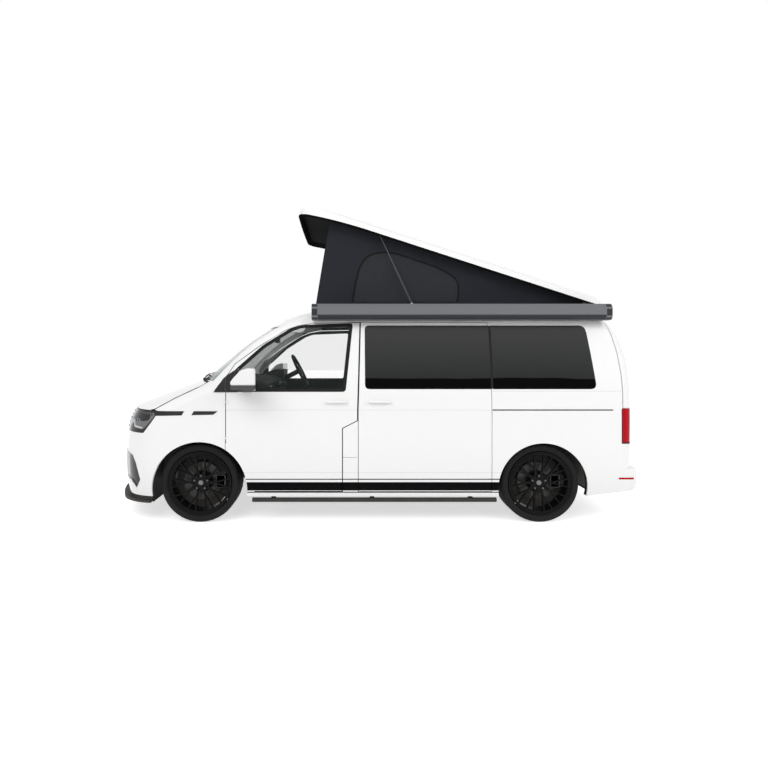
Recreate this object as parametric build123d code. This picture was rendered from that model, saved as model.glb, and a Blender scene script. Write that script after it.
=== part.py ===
"""Camper van with a raised pop-up roof and a side awning.

Millimetres. +X forward, +Y to the vehicle's left, +Z up. The origin is on the ground, midway along the van.
The body tables give x from the front axle and z from the ground; shift() turns such an x into the van's frame.
"""
import math
import os

from build123d import *

os.makedirs("parts", exist_ok=True)

# ---------------------------------------------------------------- driving dimensions
WHEELBASE = 3000.0
FRONT_OVERHANG = 915.0  # front axle to the tip of the splitter
REAR_OVERHANG = 935.0  # rear axle to the back of the rear bumper
FRONT_AXLE = (WHEELBASE + REAR_OVERHANG - FRONT_OVERHANG) / 2
REAR_AXLE = FRONT_AXLE - WHEELBASE

WALL = 70.0  # side walls, doors and tailgate, skin to trim
BONNET_T = 34.0
ROOF_T = 45.0
GLASS_T = 6.0
GLASS_SET = 5.0  # glass sits this far inside the skin
SEAM = 5.0  # gap round the fixed sliding door
DOOR_GAP = 8.0  # gap round every hung panel
DOOR_CLEAR = 6.0  # between a door's inner face and the pillar behind it
PILLAR_T = 55.0
PILLAR_X = (-1330.0, -1456.0)
FIT = 0.3  # clearance of seated pieces and of pins in their bores

TYRE_R = 345.0
TYRE_W = 262.0
TYRE_FACE = 932.0  # y of the tyre's outer face
WHEEL_Y = TYRE_FACE - TYRE_W / 2
RIM_R = 277.0
BARREL_R = 262.0
BARREL_T = 12.0
DISC_R = 170.0
DISC_Y = (WHEEL_Y - 5.0, WHEEL_Y + 17.0)
SPINDLE_R = 30.0
SPINDLE_END = WHEEL_Y + 58.0
KINGPIN_Y = 750.0
KINGPIN_R = 12.0
KNUCKLE_Y = (716.0, 784.0)
SPOKE_PAIRS = 10
LUG_COUNT = 5
LUG_PCD = 120.0

FRONT_ARCH_R = 420.0
FRONT_ARCH_Z = 295.0
REAR_ARCH_R = 392.0
REAR_WELL_R = 400.0
REAR_ARCH_Z = 312.0
REAR_ARCH_X = REAR_AXLE - 19.0
ARCH_BAND = 55.0  # wing metal left behind the front arch
WELL_R = 455.0  # liner round a steered front wheel
FRONT_WELL_Y = 480.0
REAR_WELL_Y = 560.0
LIP_Y = 915.0  # the arch lip starts here
LINER_T = 14.0

SILL_Z = 235.0
DOOR_BASE_Z = 275.0
FLOOR_Z = 430.0
FLOOR_T = 28.0
RAIL_Z = 300.0
RAIL_Y = (380.0, 450.0)
ROOF_Z = 1930.0
CANT_Z = 1830.0  # the roof panel starts here
DOOR_TOP_Z = 1775.0
HEADER_Z = 1783.0
BONNET_REAR_Z = 1240.0
BONNET_REAR_GAP = 16.0
COWL_Z = 1206.0
CREASE_Z = 996.0

# side-view places, from the front axle
DOOR_FRONT = -229.0
DOOR_REAR = -1393.0
FLAP_FRONT = -1261.0  # the body panel with the fuel flap starts here
FLAP_TOP_Z = 900.0
FLAP_LOW_Z = 833.0
SLIDER_REAR = -2570.0
BUMPER_FRONT = -3425.0  # the rear bumper starts here, behind the arch
PLATE_Z = 860.0
PLATE_SPACING = 300.0
TOW_X = (-3440.0, -3600.0)  # bolt holes for a tow bar, in the rails
TOW_Y = 415.0
TOW_HOLE_R = 6.5
LAMP_FRONT = -3703.0
LAMP_Z = (700.0, 1006.0)
LAMP_Y = 745.0
TAILGATE_BASE_Z = 482.0
BELT_Z = 790.0  # top of the front bumper
LAMP_TOP_Z = 985.0
GRILLE_HALF = 600.0
HINGE_PIN_R = 5.0
TAIL_HINGE = (-3730.0, 1781.0)
BONNET_HINGE = (-68.0, 1222.0)
DOOR_PIN_Y = 957.0
DOOR_PIN_R = 2.5
DOOR_KNUCKLES_Z = (745.0, 1062.0)

POP_ANGLE = 18.0  # how far the raised roof stands open
POP_REAR = -3690.0
POP_FRONT = -715.0
POP_HALF = 722.0
POP_WALL = 35.0
POP_BASE_Z = ROOF_Z + 14.0
POP_HINGE = (-3560.0, ROOF_Z + 22.0)
POP_SKIN = 34.0  # moulding left over the hollow
HATCH_X = (-1120.0, -2560.0)
HATCH_HALF = 520.0
TENT_HALF = 600.0
TENT_T = 3.0
TENT_FOOT = (-1000.0, -3520.0)
TENT_TOP_FRONT = -1138.0
STRUT_Y = 650.0
STRUT_FOOT = (-1902.0, 1958.0)
STRUT_HEAD = (-1595.0, 2618.0)
STRUT_BODY_L = 372.0
STRUT_BODY_R = 10.0
STRUT_ROD_R = 5.0

AWNING_X = (-987.0, -3621.0)
AWNING_Y = (842.0, 958.0)
AWNING_Z = (1787.0, 1929.0)
AWNING_CAP = 52.0

# one row per level: height, nose ahead of the front axle, nose radius in plan, front corner radius, half width,
# tail behind the front axle, rear corner radius
BODY_LEVELS = [
    # z, nose, nose_r, corner, half, tail, tail_corner
    (235, 868, 1600, 345, 928, -3880, 115),
    (420, 893, 1600, 360, 948, -3886, 115),
    (700, 891, 1600, 385, 952, -3889, 110),
    (880, 852, 1600, 395, 952, -3890, 110),
    (1000, 788, 1600, 400, 950, -3890, 110),
    (1120, 455, 1700, 360, 948, -3888, 110),
    (1240, 130, 1900, 280, 940, -3884, 110),
    (1430, -95, 2100, 190, 912, -3862, 115),
    (1600, -305, 2100, 150, 880, -3815, 120),
    (1740, -520, 2000, 140, 845, -3745, 140),
    (1830, -690, 2000, 140, 808, -3690, 150),
    (1880, -870, 2000, 150, 765, -3620, 160),
    (1915, -1080, 2000, 160, 690, -3520, 160),
    (1930, -1300, 2000, 160, 590, -3380, 160),
]
BODY_SPANS = ((0, 4), (4, 6), (6, 10), (10, 13))  # rows joined smoothly; creases lie between the spans
BUMPER_LEVELS = [
    # z, half, tail, tail_corner
    (235, 928, -3895, 110),
    (372, 943, -3935, 85),
    (476, 949, -3922, 85),
]
POP_LEVELS = [
    # z above the lower edge, how far the outline is drawn in
    (0, 0),
    (58, 14),
    (86, 60),
    (104, 190),
]
POP_DROOP = [
    # x from the front axle, how far the lip and the crown come down towards the front
    (-1500, 0, 0),
    (-1250, 2, 6),
    (-1135, 5, 14),
    (-1000, 14, 28),
    (-880, 26, 46),
    (-760, 42, 66),
    (-600, 66, 96),
]
TAIL_R = 5200.0
BUMPER_R = 6500.0

REACH = 3000.0  # cutting prisms run this far past the body
LEFT = (0.0, 1400.0)
RIGHT = (-1400.0, 0.0)
ACROSS = (-1400.0, 1400.0)

# side-view outlines, x from the front axle and z
BONNET_LINE = [(397, 996), (227, 1093), (16, 1193), (-60, 1240)]
WING = [(DOOR_FRONT, 0), (DOOR_FRONT, BONNET_REAR_Z)] + BONNET_LINE[::-1] + [
    (352, LAMP_TOP_Z),
    (425, 884),
    (500, BELT_Z),
    (400, 600),
    (400, 0),
]
LAMP = [(1200, LAMP_TOP_Z), (352, LAMP_TOP_Z), (425, 884), (500, BELT_Z), (1200, BELT_Z)]
BUMPER = [(1200, 0), (1200, BELT_Z), (500, BELT_Z), (400, 600), (400, 0)]
BONNET = [(1200, LAMP_TOP_Z), (450, LAMP_TOP_Z)] + BONNET_LINE + [(1200, BONNET_REAR_Z)]
NOSE = [(1200, 0), (1200, BONNET_REAR_Z), (DOOR_FRONT, BONNET_REAR_Z), (DOOR_FRONT, 0)]
CAB_DOOR_TOP = [
    (DOOR_FRONT, DOOR_BASE_Z),
    (DOOR_FRONT, 1290),
    (-300, 1400),
    (-525, 1565),
    (-745, 1703),
    (-855, 1744),
    (-985, 1767),
    (DOOR_REAR - 24, DOOR_TOP_Z),
    (DOOR_REAR, CREASE_Z),
]
LEFT_DOOR = CAB_DOOR_TOP + [
    (DOOR_REAR, FLAP_TOP_Z),
    (FLAP_FRONT, FLAP_LOW_Z),
    (FLAP_FRONT, DOOR_BASE_Z),
]
RIGHT_DOOR = CAB_DOOR_TOP + [(DOOR_REAR, DOOR_BASE_Z)]
SLIDER = [
    (DOOR_REAR, DOOR_BASE_Z),
    (DOOR_REAR, CREASE_Z),
    (DOOR_REAR - 24, DOOR_TOP_Z),
    (SLIDER_REAR + 12, DOOR_TOP_Z),
    (SLIDER_REAR, CREASE_Z),
    (SLIDER_REAR, DOOR_BASE_Z),
]
CAB_WINDOW = [(-330, 1180), (-330, 1335), (-568, 1548), (-797, 1690), (-888, 1722), (-1322, 1738), (-1262, 1180)]
MID_WINDOW = [(-1470, 1190), (-1488, 1742), (SLIDER_REAR + 45, 1742), (SLIDER_REAR + 45, 1190)]
REAR_WINDOW = [(SLIDER_REAR - 45, 1190), (SLIDER_REAR - 45, 1742), (-3405, 1735), (-3465, 1215), (-3445, 1190)]
TAIL_END = [(-3622, HEADER_Z), (-3655, 1645), (-3686, 1489), (-3704, 1310), (-3710, 1150), (-3710, TAILGATE_BASE_Z)]
TAIL_END += [(-4300, TAILGATE_BASE_Z), (-4300, HEADER_Z)]
WINDSCREEN = [(-862, 1246), (-800, 1735), (800, 1735), (862, 1246)]
TAIL_WINDOW = [(-700, 1195), (-655, 1700), (655, 1700), (700, 1195)]
STEP_Y = 905.0
STEP_Z = 198.0
STEP_R = 20.0
BULKHEAD_X = -120.0
DASH_HALF = 832.0
DRIVER_Y = -400.0  # middle of the driver's seat and steering wheel
DASH = [(BULKHEAD_X - FIT, 850), (BULKHEAD_X - FIT, 1186), (-300, 1240), (-500, 1256), (-590, 1215), (-550, 1000)]
DASH += [(-380, 930), (-300, 850)]
BINNACLE = [(-430, 1200), (-430, 1290), (-520, 1318), (-610, 1306), (-598, 1145), (-540, 1080)]


# ---------------------------------------------------------------- helpers
def shift(x):
    """A place measured from the front axle, in the van's own frame."""
    return FRONT_AXLE + x


def pieces(shape):
    """Every solid in a shape or a list of shapes."""
    if isinstance(shape, (list, tuple)):
        return [solid for part in shape for solid in pieces(part)]
    return list(shape.solids())


def joined(shape):
    """One shape out of whatever a boolean gave back."""
    solids = pieces(shape)
    return solids[0] if len(solids) == 1 else Compound(solids)


def cut(shape, *cutters):
    return joined(joined(shape).cut(*pieces(list(cutters))))


def common(shape, *others):
    for other in others:
        shape = joined(joined(shape).intersect(joined(other)))
    return shape


def fused(first, *others):
    return joined(joined(first).fuse(*pieces(list(others))))


def mirrored(shape):
    return joined([solid.mirror(Plane.XZ) for solid in pieces(shape)])


def both(shape):
    return pieces(shape) + pieces(mirrored(shape))


def box(x, y, z):
    """A box from three (low, high) pairs."""
    (x0, x1), (y0, y1), (z0, z1) = sorted(x), sorted(y), sorted(z)
    return Solid.make_box(x1 - x0, y1 - y0, z1 - z0, Plane((x0, y0, z0)))


def axle_box(x, y, z):
    """A box whose x pair is measured from the front axle."""
    return box((shift(x[0]), shift(x[1])), y, z)


def side_prism(points, y, grow=0.0):
    """A side-view outline, grown by a distance, extruded across y."""
    y0, y1 = sorted(y)
    face = Face(Wire.make_polygon([Vector(shift(px), y0, pz) for px, pz in points], close=True))
    if grow:
        face = Face(face.outer_wire().offset_2d(grow, kind=Kind.INTERSECTION))
    return Solid.extrude(face, Vector(0, y1 - y0, 0))


def end_prism(points, x, grow=0.0):
    """An outline in y and z, grown by a distance, extruded along x from the front axle."""
    x0, x1 = sorted(x)
    face = Face(Wire.make_polygon([Vector(shift(x0), py, pz) for py, pz in points], close=True))
    if grow:
        face = Face(face.outer_wire().offset_2d(grow, kind=Kind.INTERSECTION))
    return Solid.extrude(face, Vector(x1 - x0, 0, 0))


def bar_y(x, z, r, y):
    """A round bar across the van."""
    y0, y1 = sorted(y)
    return Solid.make_cylinder(r, y1 - y0, Plane((x, y0, z), x_dir=(1, 0, 0), z_dir=(0, 1, 0)))


def bar_z(x, y, r, z):
    return Solid.make_cylinder(r, z[1] - z[0], Plane((x, y, z[0])))


def bar_between(a, b, r):
    a, b = Vector(*a), Vector(*b)
    return Solid.make_cylinder(r, (b - a).length, Plane(a, z_dir=(b - a).normalized()))


def ring_about_y(x, z, profile):
    """A ring about an axle from (y, radius) points."""
    wire = Wire.make_polygon([Vector(x, py, z + r) for py, r in profile], close=True)
    return Solid.revolve(Face(wire), 360, Axis((x, 0, z), (0, 1, 0)))


def save(name, *shapes):
    """Writes a node from its solids."""
    solids = pieces(list(shapes))
    export_step(solids[0] if len(solids) == 1 else Compound(solids), f"parts/{name}.step")
    print(name, len(solids), [round(s.volume / 1e6, 3) for s in solids][:8])


# ---------------------------------------------------------------- body form
def plan_outline(z, nose, nose_r, corner, half, tail, tail_r, tail_corner):
    """A rounded plan outline: bowed nose and tail, straight sides, all joints tangent."""
    front_x = nose - nose_r + math.sqrt((nose_r - corner) ** 2 - (half - corner) ** 2)
    front_a = math.atan2(half - corner, front_x - (nose - nose_r))
    nose_end = (nose - nose_r + nose_r * math.cos(front_a), nose_r * math.sin(front_a))
    mid_a = (front_a + math.pi / 2) / 2
    front_mid = (front_x + corner * math.cos(mid_a), half - corner + corner * math.sin(mid_a))
    rear_x = tail + tail_r - math.sqrt((tail_r - tail_corner) ** 2 - (half - tail_corner) ** 2)
    rear_a = math.atan2(half - tail_corner, tail + tail_r - rear_x)
    tail_end = (tail + tail_r - tail_r * math.cos(rear_a), tail_r * math.sin(rear_a))
    back_a = (rear_a + math.pi / 2) / 2
    rear_mid = (rear_x - tail_corner * math.cos(back_a), half - tail_corner + tail_corner * math.sin(back_a))

    def other(p):
        return (p[0], -p[1])

    side_front, side_rear = (front_x, half), (rear_x, half)
    with BuildLine(Plane.XY.offset(z)) as outline:
        ThreePointArc(other(nose_end), (nose, 0), nose_end)
        ThreePointArc(nose_end, front_mid, side_front)
        Line(side_front, side_rear)
        ThreePointArc(side_rear, rear_mid, tail_end)
        ThreePointArc(tail_end, (tail, 0), other(tail_end))
        ThreePointArc(other(tail_end), other(rear_mid), other(side_rear))
        Line(other(side_rear), other(side_front))
        ThreePointArc(other(side_front), other(front_mid), other(nose_end))
    return outline.wire()


def body_form(inset):
    """The whole body as a solid, drawn in by inset on every side."""
    wires = []
    for i, (z, nose, nose_r, corner, half, tail, tail_corner) in enumerate(BODY_LEVELS):
        below = BODY_LEVELS[max(i - 1, 0)]
        above = BODY_LEVELS[min(i + 1, len(BODY_LEVELS) - 1)]
        slope = math.atan2(above[0] - below[0], abs(above[1] - below[1]))
        nose_x = shift(nose) - inset / math.sin(slope)
        wires.append(
            plan_outline(
                z,
                nose_x,
                nose_r - inset,
                max(corner - inset, 30),
                half - inset,
                shift(tail) + inset,
                TAIL_R - inset,
                max(tail_corner - inset, 30),
            )
        )
    lofts = [Solid.make_loft(wires[first : last + 1], ruled=False) for first, last in BODY_SPANS]
    return fused(*lofts)


def loft_of(levels):
    """A loft through plan outlines."""
    return Solid.make_loft([plan_outline(*level) for level in levels], ruled=False)


outer = body_form(0)
room = body_form(WALL + FIT)
inner = common(body_form(WALL), box((-REACH, REACH), ACROSS, (0, ROOF_Z - ROOF_T)))
shell = cut(outer, inner)
glass_form = cut(body_form(GLASS_SET), body_form(GLASS_SET + GLASS_T))

# ---------------------------------------------------------------- wheel openings
front_band = bar_y(FRONT_AXLE, FRONT_ARCH_Z, FRONT_ARCH_R + ARCH_BAND, LEFT)


def wheel_space(arch_x, arch_z, arch_r, well_x, well_z, well_r, well_y):
    """Left-hand wheel opening: the arch in the skin and the well behind its lip."""
    arch = bar_y(arch_x, arch_z, arch_r, (LIP_Y - 1, REACH / 2))
    well = bar_y(well_x, well_z, well_r, (well_y, LIP_Y))
    return [arch, well]


front_space = wheel_space(FRONT_AXLE, FRONT_ARCH_Z, FRONT_ARCH_R, FRONT_AXLE, TYRE_R, WELL_R, FRONT_WELL_Y)
rear_space = wheel_space(REAR_ARCH_X, REAR_ARCH_Z, REAR_ARCH_R, REAR_ARCH_X, REAR_ARCH_Z, REAR_WELL_R, REAR_WELL_Y)
wheel_spaces = both(front_space) + both(rear_space)


def window_in(panel, outline, y):
    """The opening's cutter and the pane that fills it."""
    pane = common(glass_form, side_prism(outline, y, -FIT))
    return cut(panel, side_prism(outline, y)), pane


# ---------------------------------------------------------------- nose panels
bonnet_form = cut(outer, body_form(BONNET_T))
scuttle_level = next(level for level in BODY_LEVELS if level[0] == BONNET_REAR_Z)


def scuttle_outline(z, grow):
    """Plan outline of the body where the bonnet ends, grown by a distance."""
    _, nose, nose_r, corner, half, tail, tail_corner = scuttle_level
    return plan_outline(z, shift(nose) + grow, nose_r + grow, corner + grow, half + grow, shift(tail), TAIL_R, tail_corner)


bonnet = common(bonnet_form, side_prism(BONNET, ACROSS, -DOOR_GAP))
bonnet = cut(bonnet, Solid.extrude(Face(scuttle_outline(1000, BONNET_REAR_GAP)), Vector(0, 0, 300)))
scuttle = Solid.extrude(Face(scuttle_outline(COWL_Z, -FIT)), Vector(0, 0, BONNET_REAR_Z - 4 - COWL_Z))
scuttle = common(scuttle, body_form(4), axle_box((-110, 200), (-780, 780), (1000, 1300)))
scuttle = cut(scuttle, cut(side_prism(WING, ACROSS, FIT), room))
lid_x, lid_z = shift(BONNET_HINGE[0]), BONNET_HINGE[1]
lid_arm = side_prism([(-68, 1216), (-68, 1227), (0, 1214), (60, 1190), (60, 1178), (0, 1203)], (800, 810))
lid_arm = cut(fused(lid_arm, bar_y(lid_x, lid_z, 9, (800, 810))), bar_y(lid_x, lid_z, HINGE_PIN_R + FIT, (700, 900)))
bonnet = fused(bonnet, *both(lid_arm))

lamp_zone = common(shell, side_prism(LAMP, ACROSS))
headlamps = [common(lamp_zone, box((0, REACH), side, (0, 1200))) for side in ((GRILLE_HALF, 1400), (-1400, -GRILLE_HALF))]
grille = common(lamp_zone, box((0, REACH), (-GRILLE_HALF, GRILLE_HALF), (0, 1200)))

wing_prism = fused(side_prism(WING, LEFT), common(front_band, axle_box((DOOR_FRONT + 1, -900), LEFT, (0, 900))))
lid_pocket = axle_box((-96, 70), (792, 812), (1160, BONNET_REAR_Z + 1))
lid_notch = axle_box((-90, 0), (790, 822), (BONNET_REAR_Z - 1, BONNET_REAR_Z + 7))
lid_bracket = fused(
    axle_box((BONNET_HINGE[0] - 12, BONNET_HINGE[0] + 12), (812, 820), (1190, BONNET_HINGE[1] + 9)),
    bar_y(lid_x, lid_z, HINGE_PIN_R, (798, 816)),
)
left_wing = fused(cut(common(shell, wing_prism), lid_pocket, *wheel_spaces), lid_bracket)
for knuckle_z in DOOR_KNUCKLES_Z:
    leaf = axle_box((DOOR_FRONT, DOOR_FRONT + 26), (942, DOOR_PIN_Y - 1), (knuckle_z - 14, knuckle_z - 2))
    pin = bar_z(shift(DOOR_FRONT), DOOR_PIN_Y, DOOR_PIN_R, (knuckle_z - 14, knuckle_z + 10))
    left_wing = fused(left_wing, leaf, pin)
wings = both(left_wing)

bumper = cut(common(shell, side_prism(BUMPER, ACROSS)), *wheel_spaces)
low_intake = end_prism([(-470, 300), (-520, 470), (520, 470), (470, 300)], (500, 1200))
side_intake_line = [(1200, 640), (700, 625), (610, 585), (572, 517), (528, 378), (572, 297), (640, 360), (1200, 400)]
side_intake = side_prism(side_intake_line, (640, 1400))
intakes = [low_intake] + both(side_intake)
bumper = cut(bumper, *intakes)
intake_form = cut(body_form(12), body_form(30))
bumper_grilles = [common(intake_form, opening) for opening in intakes]

splitter_outline = plan_outline(178, shift(915), 1600, 400, 940, shift(-3880), TAIL_R, 120)
splitter_inner = plan_outline(178, shift(770), 1460, 300, 800, shift(-3880), TAIL_R, 120)
splitter = cut(Solid.extrude(Face(splitter_outline), Vector(0, 0, 20)), Solid.extrude(Face(splitter_inner), Vector(0, 0, 20)))
splitter = common(splitter, axle_box((430, 1200), ACROSS, (0, 400)))
splitter_wall_out = plan_outline(198, shift(858), 1600, 400, 925, shift(-3880), TAIL_R, 120)
splitter_wall_in = plan_outline(198, shift(828), 1570, 370, 895, shift(-3880), TAIL_R, 120)
splitter_wall = cut(
    Solid.extrude(Face(splitter_wall_out), Vector(0, 0, SILL_Z - 198)),
    Solid.extrude(Face(splitter_wall_in), Vector(0, 0, SILL_Z - 198)),
)
splitter = fused(splitter, common(splitter_wall, axle_box((430, 1200), ACROSS, (0, 400))))

# ---------------------------------------------------------------- cab doors and sliding door
door_clear = bar_y(FRONT_AXLE, FRONT_ARCH_Z, FRONT_ARCH_R + ARCH_BAND + DOOR_GAP, ACROSS)


def cab_door(outline, y):
    panel = cut(common(shell, side_prism(outline, y, -DOOR_GAP)), door_clear)
    return window_in(panel, CAB_WINDOW, y)


left_door, left_pane = cab_door(LEFT_DOOR, LEFT)
right_door, right_pane = cab_door(RIGHT_DOOR, RIGHT)
knuckles = []
for knuckle_z in DOOR_KNUCKLES_Z:
    leaf = axle_box((DOOR_FRONT - 26, DOOR_FRONT - 2), (942, DOOR_PIN_Y - 1), (knuckle_z, knuckle_z + 12))
    barrel = bar_z(shift(DOOR_FRONT), DOOR_PIN_Y, 4.8, (knuckle_z, knuckle_z + 12))
    knuckles.append(cut(fused(leaf, barrel), bar_z(shift(DOOR_FRONT), DOOR_PIN_Y, DOOR_PIN_R + FIT, (0, 2000))))
left_door = fused(left_door, *knuckles)
right_door = fused(right_door, *[mirrored(knuckle) for knuckle in knuckles])
slider, slider_pane = window_in(common(shell, side_prism(SLIDER, LEFT, -SEAM)), MID_WINDOW, LEFT)

# ---------------------------------------------------------------- tailgate and rear end
tail_prism = side_prism(TAIL_END, ACROSS)
lamp_corner = axle_box((-4300, -3690), (LAMP_Y, 1400), (TAILGATE_BASE_Z, LAMP_Z[1]))
lamp_corner_clear = axle_box((-4300, -3600), (LAMP_Y - DOOR_GAP, 1400), (0, LAMP_Z[1] + DOOR_GAP))
tailgate = common(shell, side_prism(TAIL_END, ACROSS, -DOOR_GAP))
tailgate = cut(tailgate, *both(lamp_corner_clear))
tail_opening = end_prism(TAIL_WINDOW, (-4300, -3400))
tail_pane = common(glass_form, end_prism(TAIL_WINDOW, (-4300, -3400), -FIT))
plate_holes = [
    bar_between((shift(-3860), y, PLATE_Z), (shift(-3960), y, PLATE_Z), 3) for y in (-PLATE_SPACING / 2, PLATE_SPACING / 2)
]
tailgate = cut(tailgate, tail_opening, *plate_holes)
tail_hinge_x, tail_hinge_z = shift(TAIL_HINGE[0]), TAIL_HINGE[1]
tail_eye = bar_y(tail_hinge_x, tail_hinge_z, 9, (442, 454))
tail_arm = axle_box((TAIL_HINGE[0] - 9, -3690), (442, 454), (1752, 1775))
tail_bore = bar_y(tail_hinge_x, tail_hinge_z, HINGE_PIN_R + FIT, (400, 500))
tailgate = fused(tailgate, *both(cut(fused(tail_eye, tail_arm), tail_bore)))
tail_bracket = fused(
    axle_box((TAIL_HINGE[0] - 8, TAIL_HINGE[0] + 8), (456, 466), (tail_hinge_z - 8, tail_hinge_z + 12)),
    axle_box((TAIL_HINGE[0] - 8, -3680), (456, 466), (HEADER_Z + 1, 1797)),
    bar_y(tail_hinge_x, tail_hinge_z, HINGE_PIN_R, (440, 460)),
)

lamp_box = axle_box((-4300, LAMP_FRONT), (LAMP_Y, 1400), LAMP_Z)
tail_lamps = both(common(shell, lamp_box))

bumper_levels = [
    (z, shift(700), 1600, 300, half, shift(tail), BUMPER_R, corner) for z, half, tail, corner in BUMPER_LEVELS
]
rear_bumper_zone = axle_box((-4300, BUMPER_FRONT), ACROSS, (0, BUMPER_LEVELS[-1][0]))
rise = side_prism([(BUMPER_FRONT + 1, 0), (BUMPER_FRONT + 1, 240), (-4300, 345), (-4300, 0)], ACROSS)
rear_bumper = cut(common(loft_of(bumper_levels), rear_bumper_zone), inner, rise)

# ---------------------------------------------------------------- roof panel
front_header = axle_box((-1000, 0), (-800, 800), (1735, CANT_Z))
rear_header = axle_box((-4300, -3500), (-740, 740), (HEADER_Z, CANT_Z))
roof_zone = [box((-REACH, REACH), ACROSS, (CANT_Z, 2100)), front_header, rear_header]
hatch = axle_box(HATCH_X, (-HATCH_HALF, HATCH_HALF), (1700, 2100))
roof = cut(fused(*[common(shell, zone) for zone in roof_zone]), hatch)
hinge_x, hinge_z = shift(POP_HINGE[0]), POP_HINGE[1]
foot_x, foot_z = shift(STRUT_FOOT[0]), STRUT_FOOT[1]
head_x, head_z = shift(STRUT_HEAD[0]), STRUT_HEAD[1]
hinge_block = cut(box((hinge_x - 14, hinge_x + 14), (560, 600), (1860, hinge_z + 14)), inner)
hinge_pin = bar_y(hinge_x, hinge_z, 8, (600, 652))
strut_block = cut(box((foot_x - 12, foot_x + 12), (STRUT_Y - 34, STRUT_Y - 16), (1880, foot_z + 10)), inner)
strut_pin = bar_y(foot_x, foot_z, 5, (STRUT_Y - 16, STRUT_Y + 11))
roof = cut(roof, side_prism(LEFT_DOOR, LEFT), side_prism(RIGHT_DOOR, RIGHT))
roof = fused(roof, *both([hinge_block, hinge_pin, strut_block, strut_pin, tail_bracket]))

# ---------------------------------------------------------------- body sides
pillar_line = [(level[4] - WALL - PILLAR_T, level[0]) for level in BODY_LEVELS if level[0] <= CANT_Z]
pillar_zone = end_prism(pillar_line + [(1400, CANT_Z), (1400, SILL_Z)], PILLAR_X)
pillar = common(body_form(WALL), pillar_zone)
moving_zone = cut(outer, body_form(WALL + DOOR_CLEAR))
left_pillar = cut(pillar, common(moving_zone, side_prism(LEFT_DOOR, LEFT)))
right_pillar = cut(mirrored(pillar), common(moving_zone, side_prism(RIGHT_DOOR, RIGHT)))

side_shell = common(shell, box((-REACH, REACH), ACROSS, (0, CANT_Z)))
side_shell = cut(
    side_shell,
    side_prism(NOSE, ACROSS),
    *both(common(front_band, axle_box((DOOR_FRONT + 1, -900), LEFT, (0, 900)))),
    end_prism(WINDSCREEN, (-1000, 1200)),
    side_prism(LEFT_DOOR, LEFT),
    side_prism(RIGHT_DOOR, RIGHT),
    side_prism(SLIDER, LEFT),
    cut(tail_prism, *both(lamp_corner)),
    *both(lamp_box),
    rear_bumper_zone,
    front_header,
    rear_header,
    *wheel_spaces,
    *both(lid_notch),
)
left_side = common(side_shell, box((-REACH, REACH), LEFT, (0, 2100)))
right_side = common(side_shell, box((-REACH, REACH), RIGHT, (0, 2100)))
left_side, left_quarter = window_in(fused(left_side, left_pillar), REAR_WINDOW, LEFT)
right_side, right_quarter = window_in(fused(right_side, right_pillar), REAR_WINDOW, RIGHT)
right_side, right_mid = window_in(right_side, MID_WINDOW, RIGHT)
windscreen = common(glass_form, end_prism(WINDSCREEN, (-1000, 1200), -FIT))

# ---------------------------------------------------------------- underbody
floor = common(room, axle_box((BULKHEAD_X, -4300), ACROSS, (FLOOR_Z - FLOOR_T, FLOOR_Z)))
bulkhead = common(room, axle_box((-80, BULKHEAD_X), ACROSS, (FLOOR_Z - FLOOR_T, 1190)))
cowl = common(room, axle_box((60, BULKHEAD_X), (-850, 850), (1190, COWL_Z)))
rails = both(axle_box((685, -3650), RAIL_Y, (RAIL_Z, FLOOR_Z - FLOOR_T)))
beam = axle_box((640, 685), (-560, 560), (RAIL_Z, FLOOR_Z - FLOOR_T))


def liner(x, z, r, y0):
    """Left-hand wheel well liner: an arched sheet with its inner wall."""
    ring = bar_y(x, z, r + LINER_T, (y0 - LINER_T, 900))
    ring = cut(ring, bar_y(x, z, r, (y0, 901)))
    return common(ring, box((-REACH, REACH), LEFT, (RAIL_Z, 1000)), room)


front_liner = liner(FRONT_AXLE, TYRE_R, WELL_R, FRONT_WELL_Y)
rear_liner = liner(REAR_ARCH_X, REAR_ARCH_Z, REAR_WELL_R, REAR_WELL_Y)
front_void = bar_y(FRONT_AXLE, TYRE_R, WELL_R, (FRONT_WELL_Y, 1000))
rear_void = bar_y(REAR_ARCH_X, REAR_ARCH_Z, REAR_WELL_R, (REAR_WELL_Y, 1000))
underbody = fused(floor, bulkhead, cowl, *rails, beam, *both([front_liner, rear_liner]))
tow_holes = both([bar_z(shift(x), TOW_Y, TOW_HOLE_R, (RAIL_Z - 1, RAIL_Z + 40)) for x in TOW_X])
arm_slots = both(axle_box((-2540, -3100), (578, 662), (200, FLOOR_Z - FLOOR_T - 6)))
underbody = cut(underbody, *both([front_void, rear_void, pillar]), *arm_slots, *tow_holes)

# ---------------------------------------------------------------- running gear
subframe = axle_box((-85, 85), (-460, 460), (236, RAIL_Z))


def front_arms(side):
    """Lower arm, upper arm, damper and kingpin of the left front wheel."""
    drop = axle_box((-40, 40), (430, 460), (185, 240))
    lower = axle_box((-30, 30), (430, KINGPIN_Y + 25), (185, 215))
    upper = axle_box((-22, 22), (580, KINGPIN_Y + 20), (488, 510))
    damper = bar_z(FRONT_AXLE, 600, 22, (190, TYRE_R + WELL_R - 1))
    pin = bar_z(FRONT_AXLE, KINGPIN_Y, KINGPIN_R, (190, 508))
    return fused(drop, lower, upper, damper, pin) if side > 0 else mirrored(front_arms(1))


suspension = fused(subframe, front_arms(1), front_arms(-1))


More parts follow.
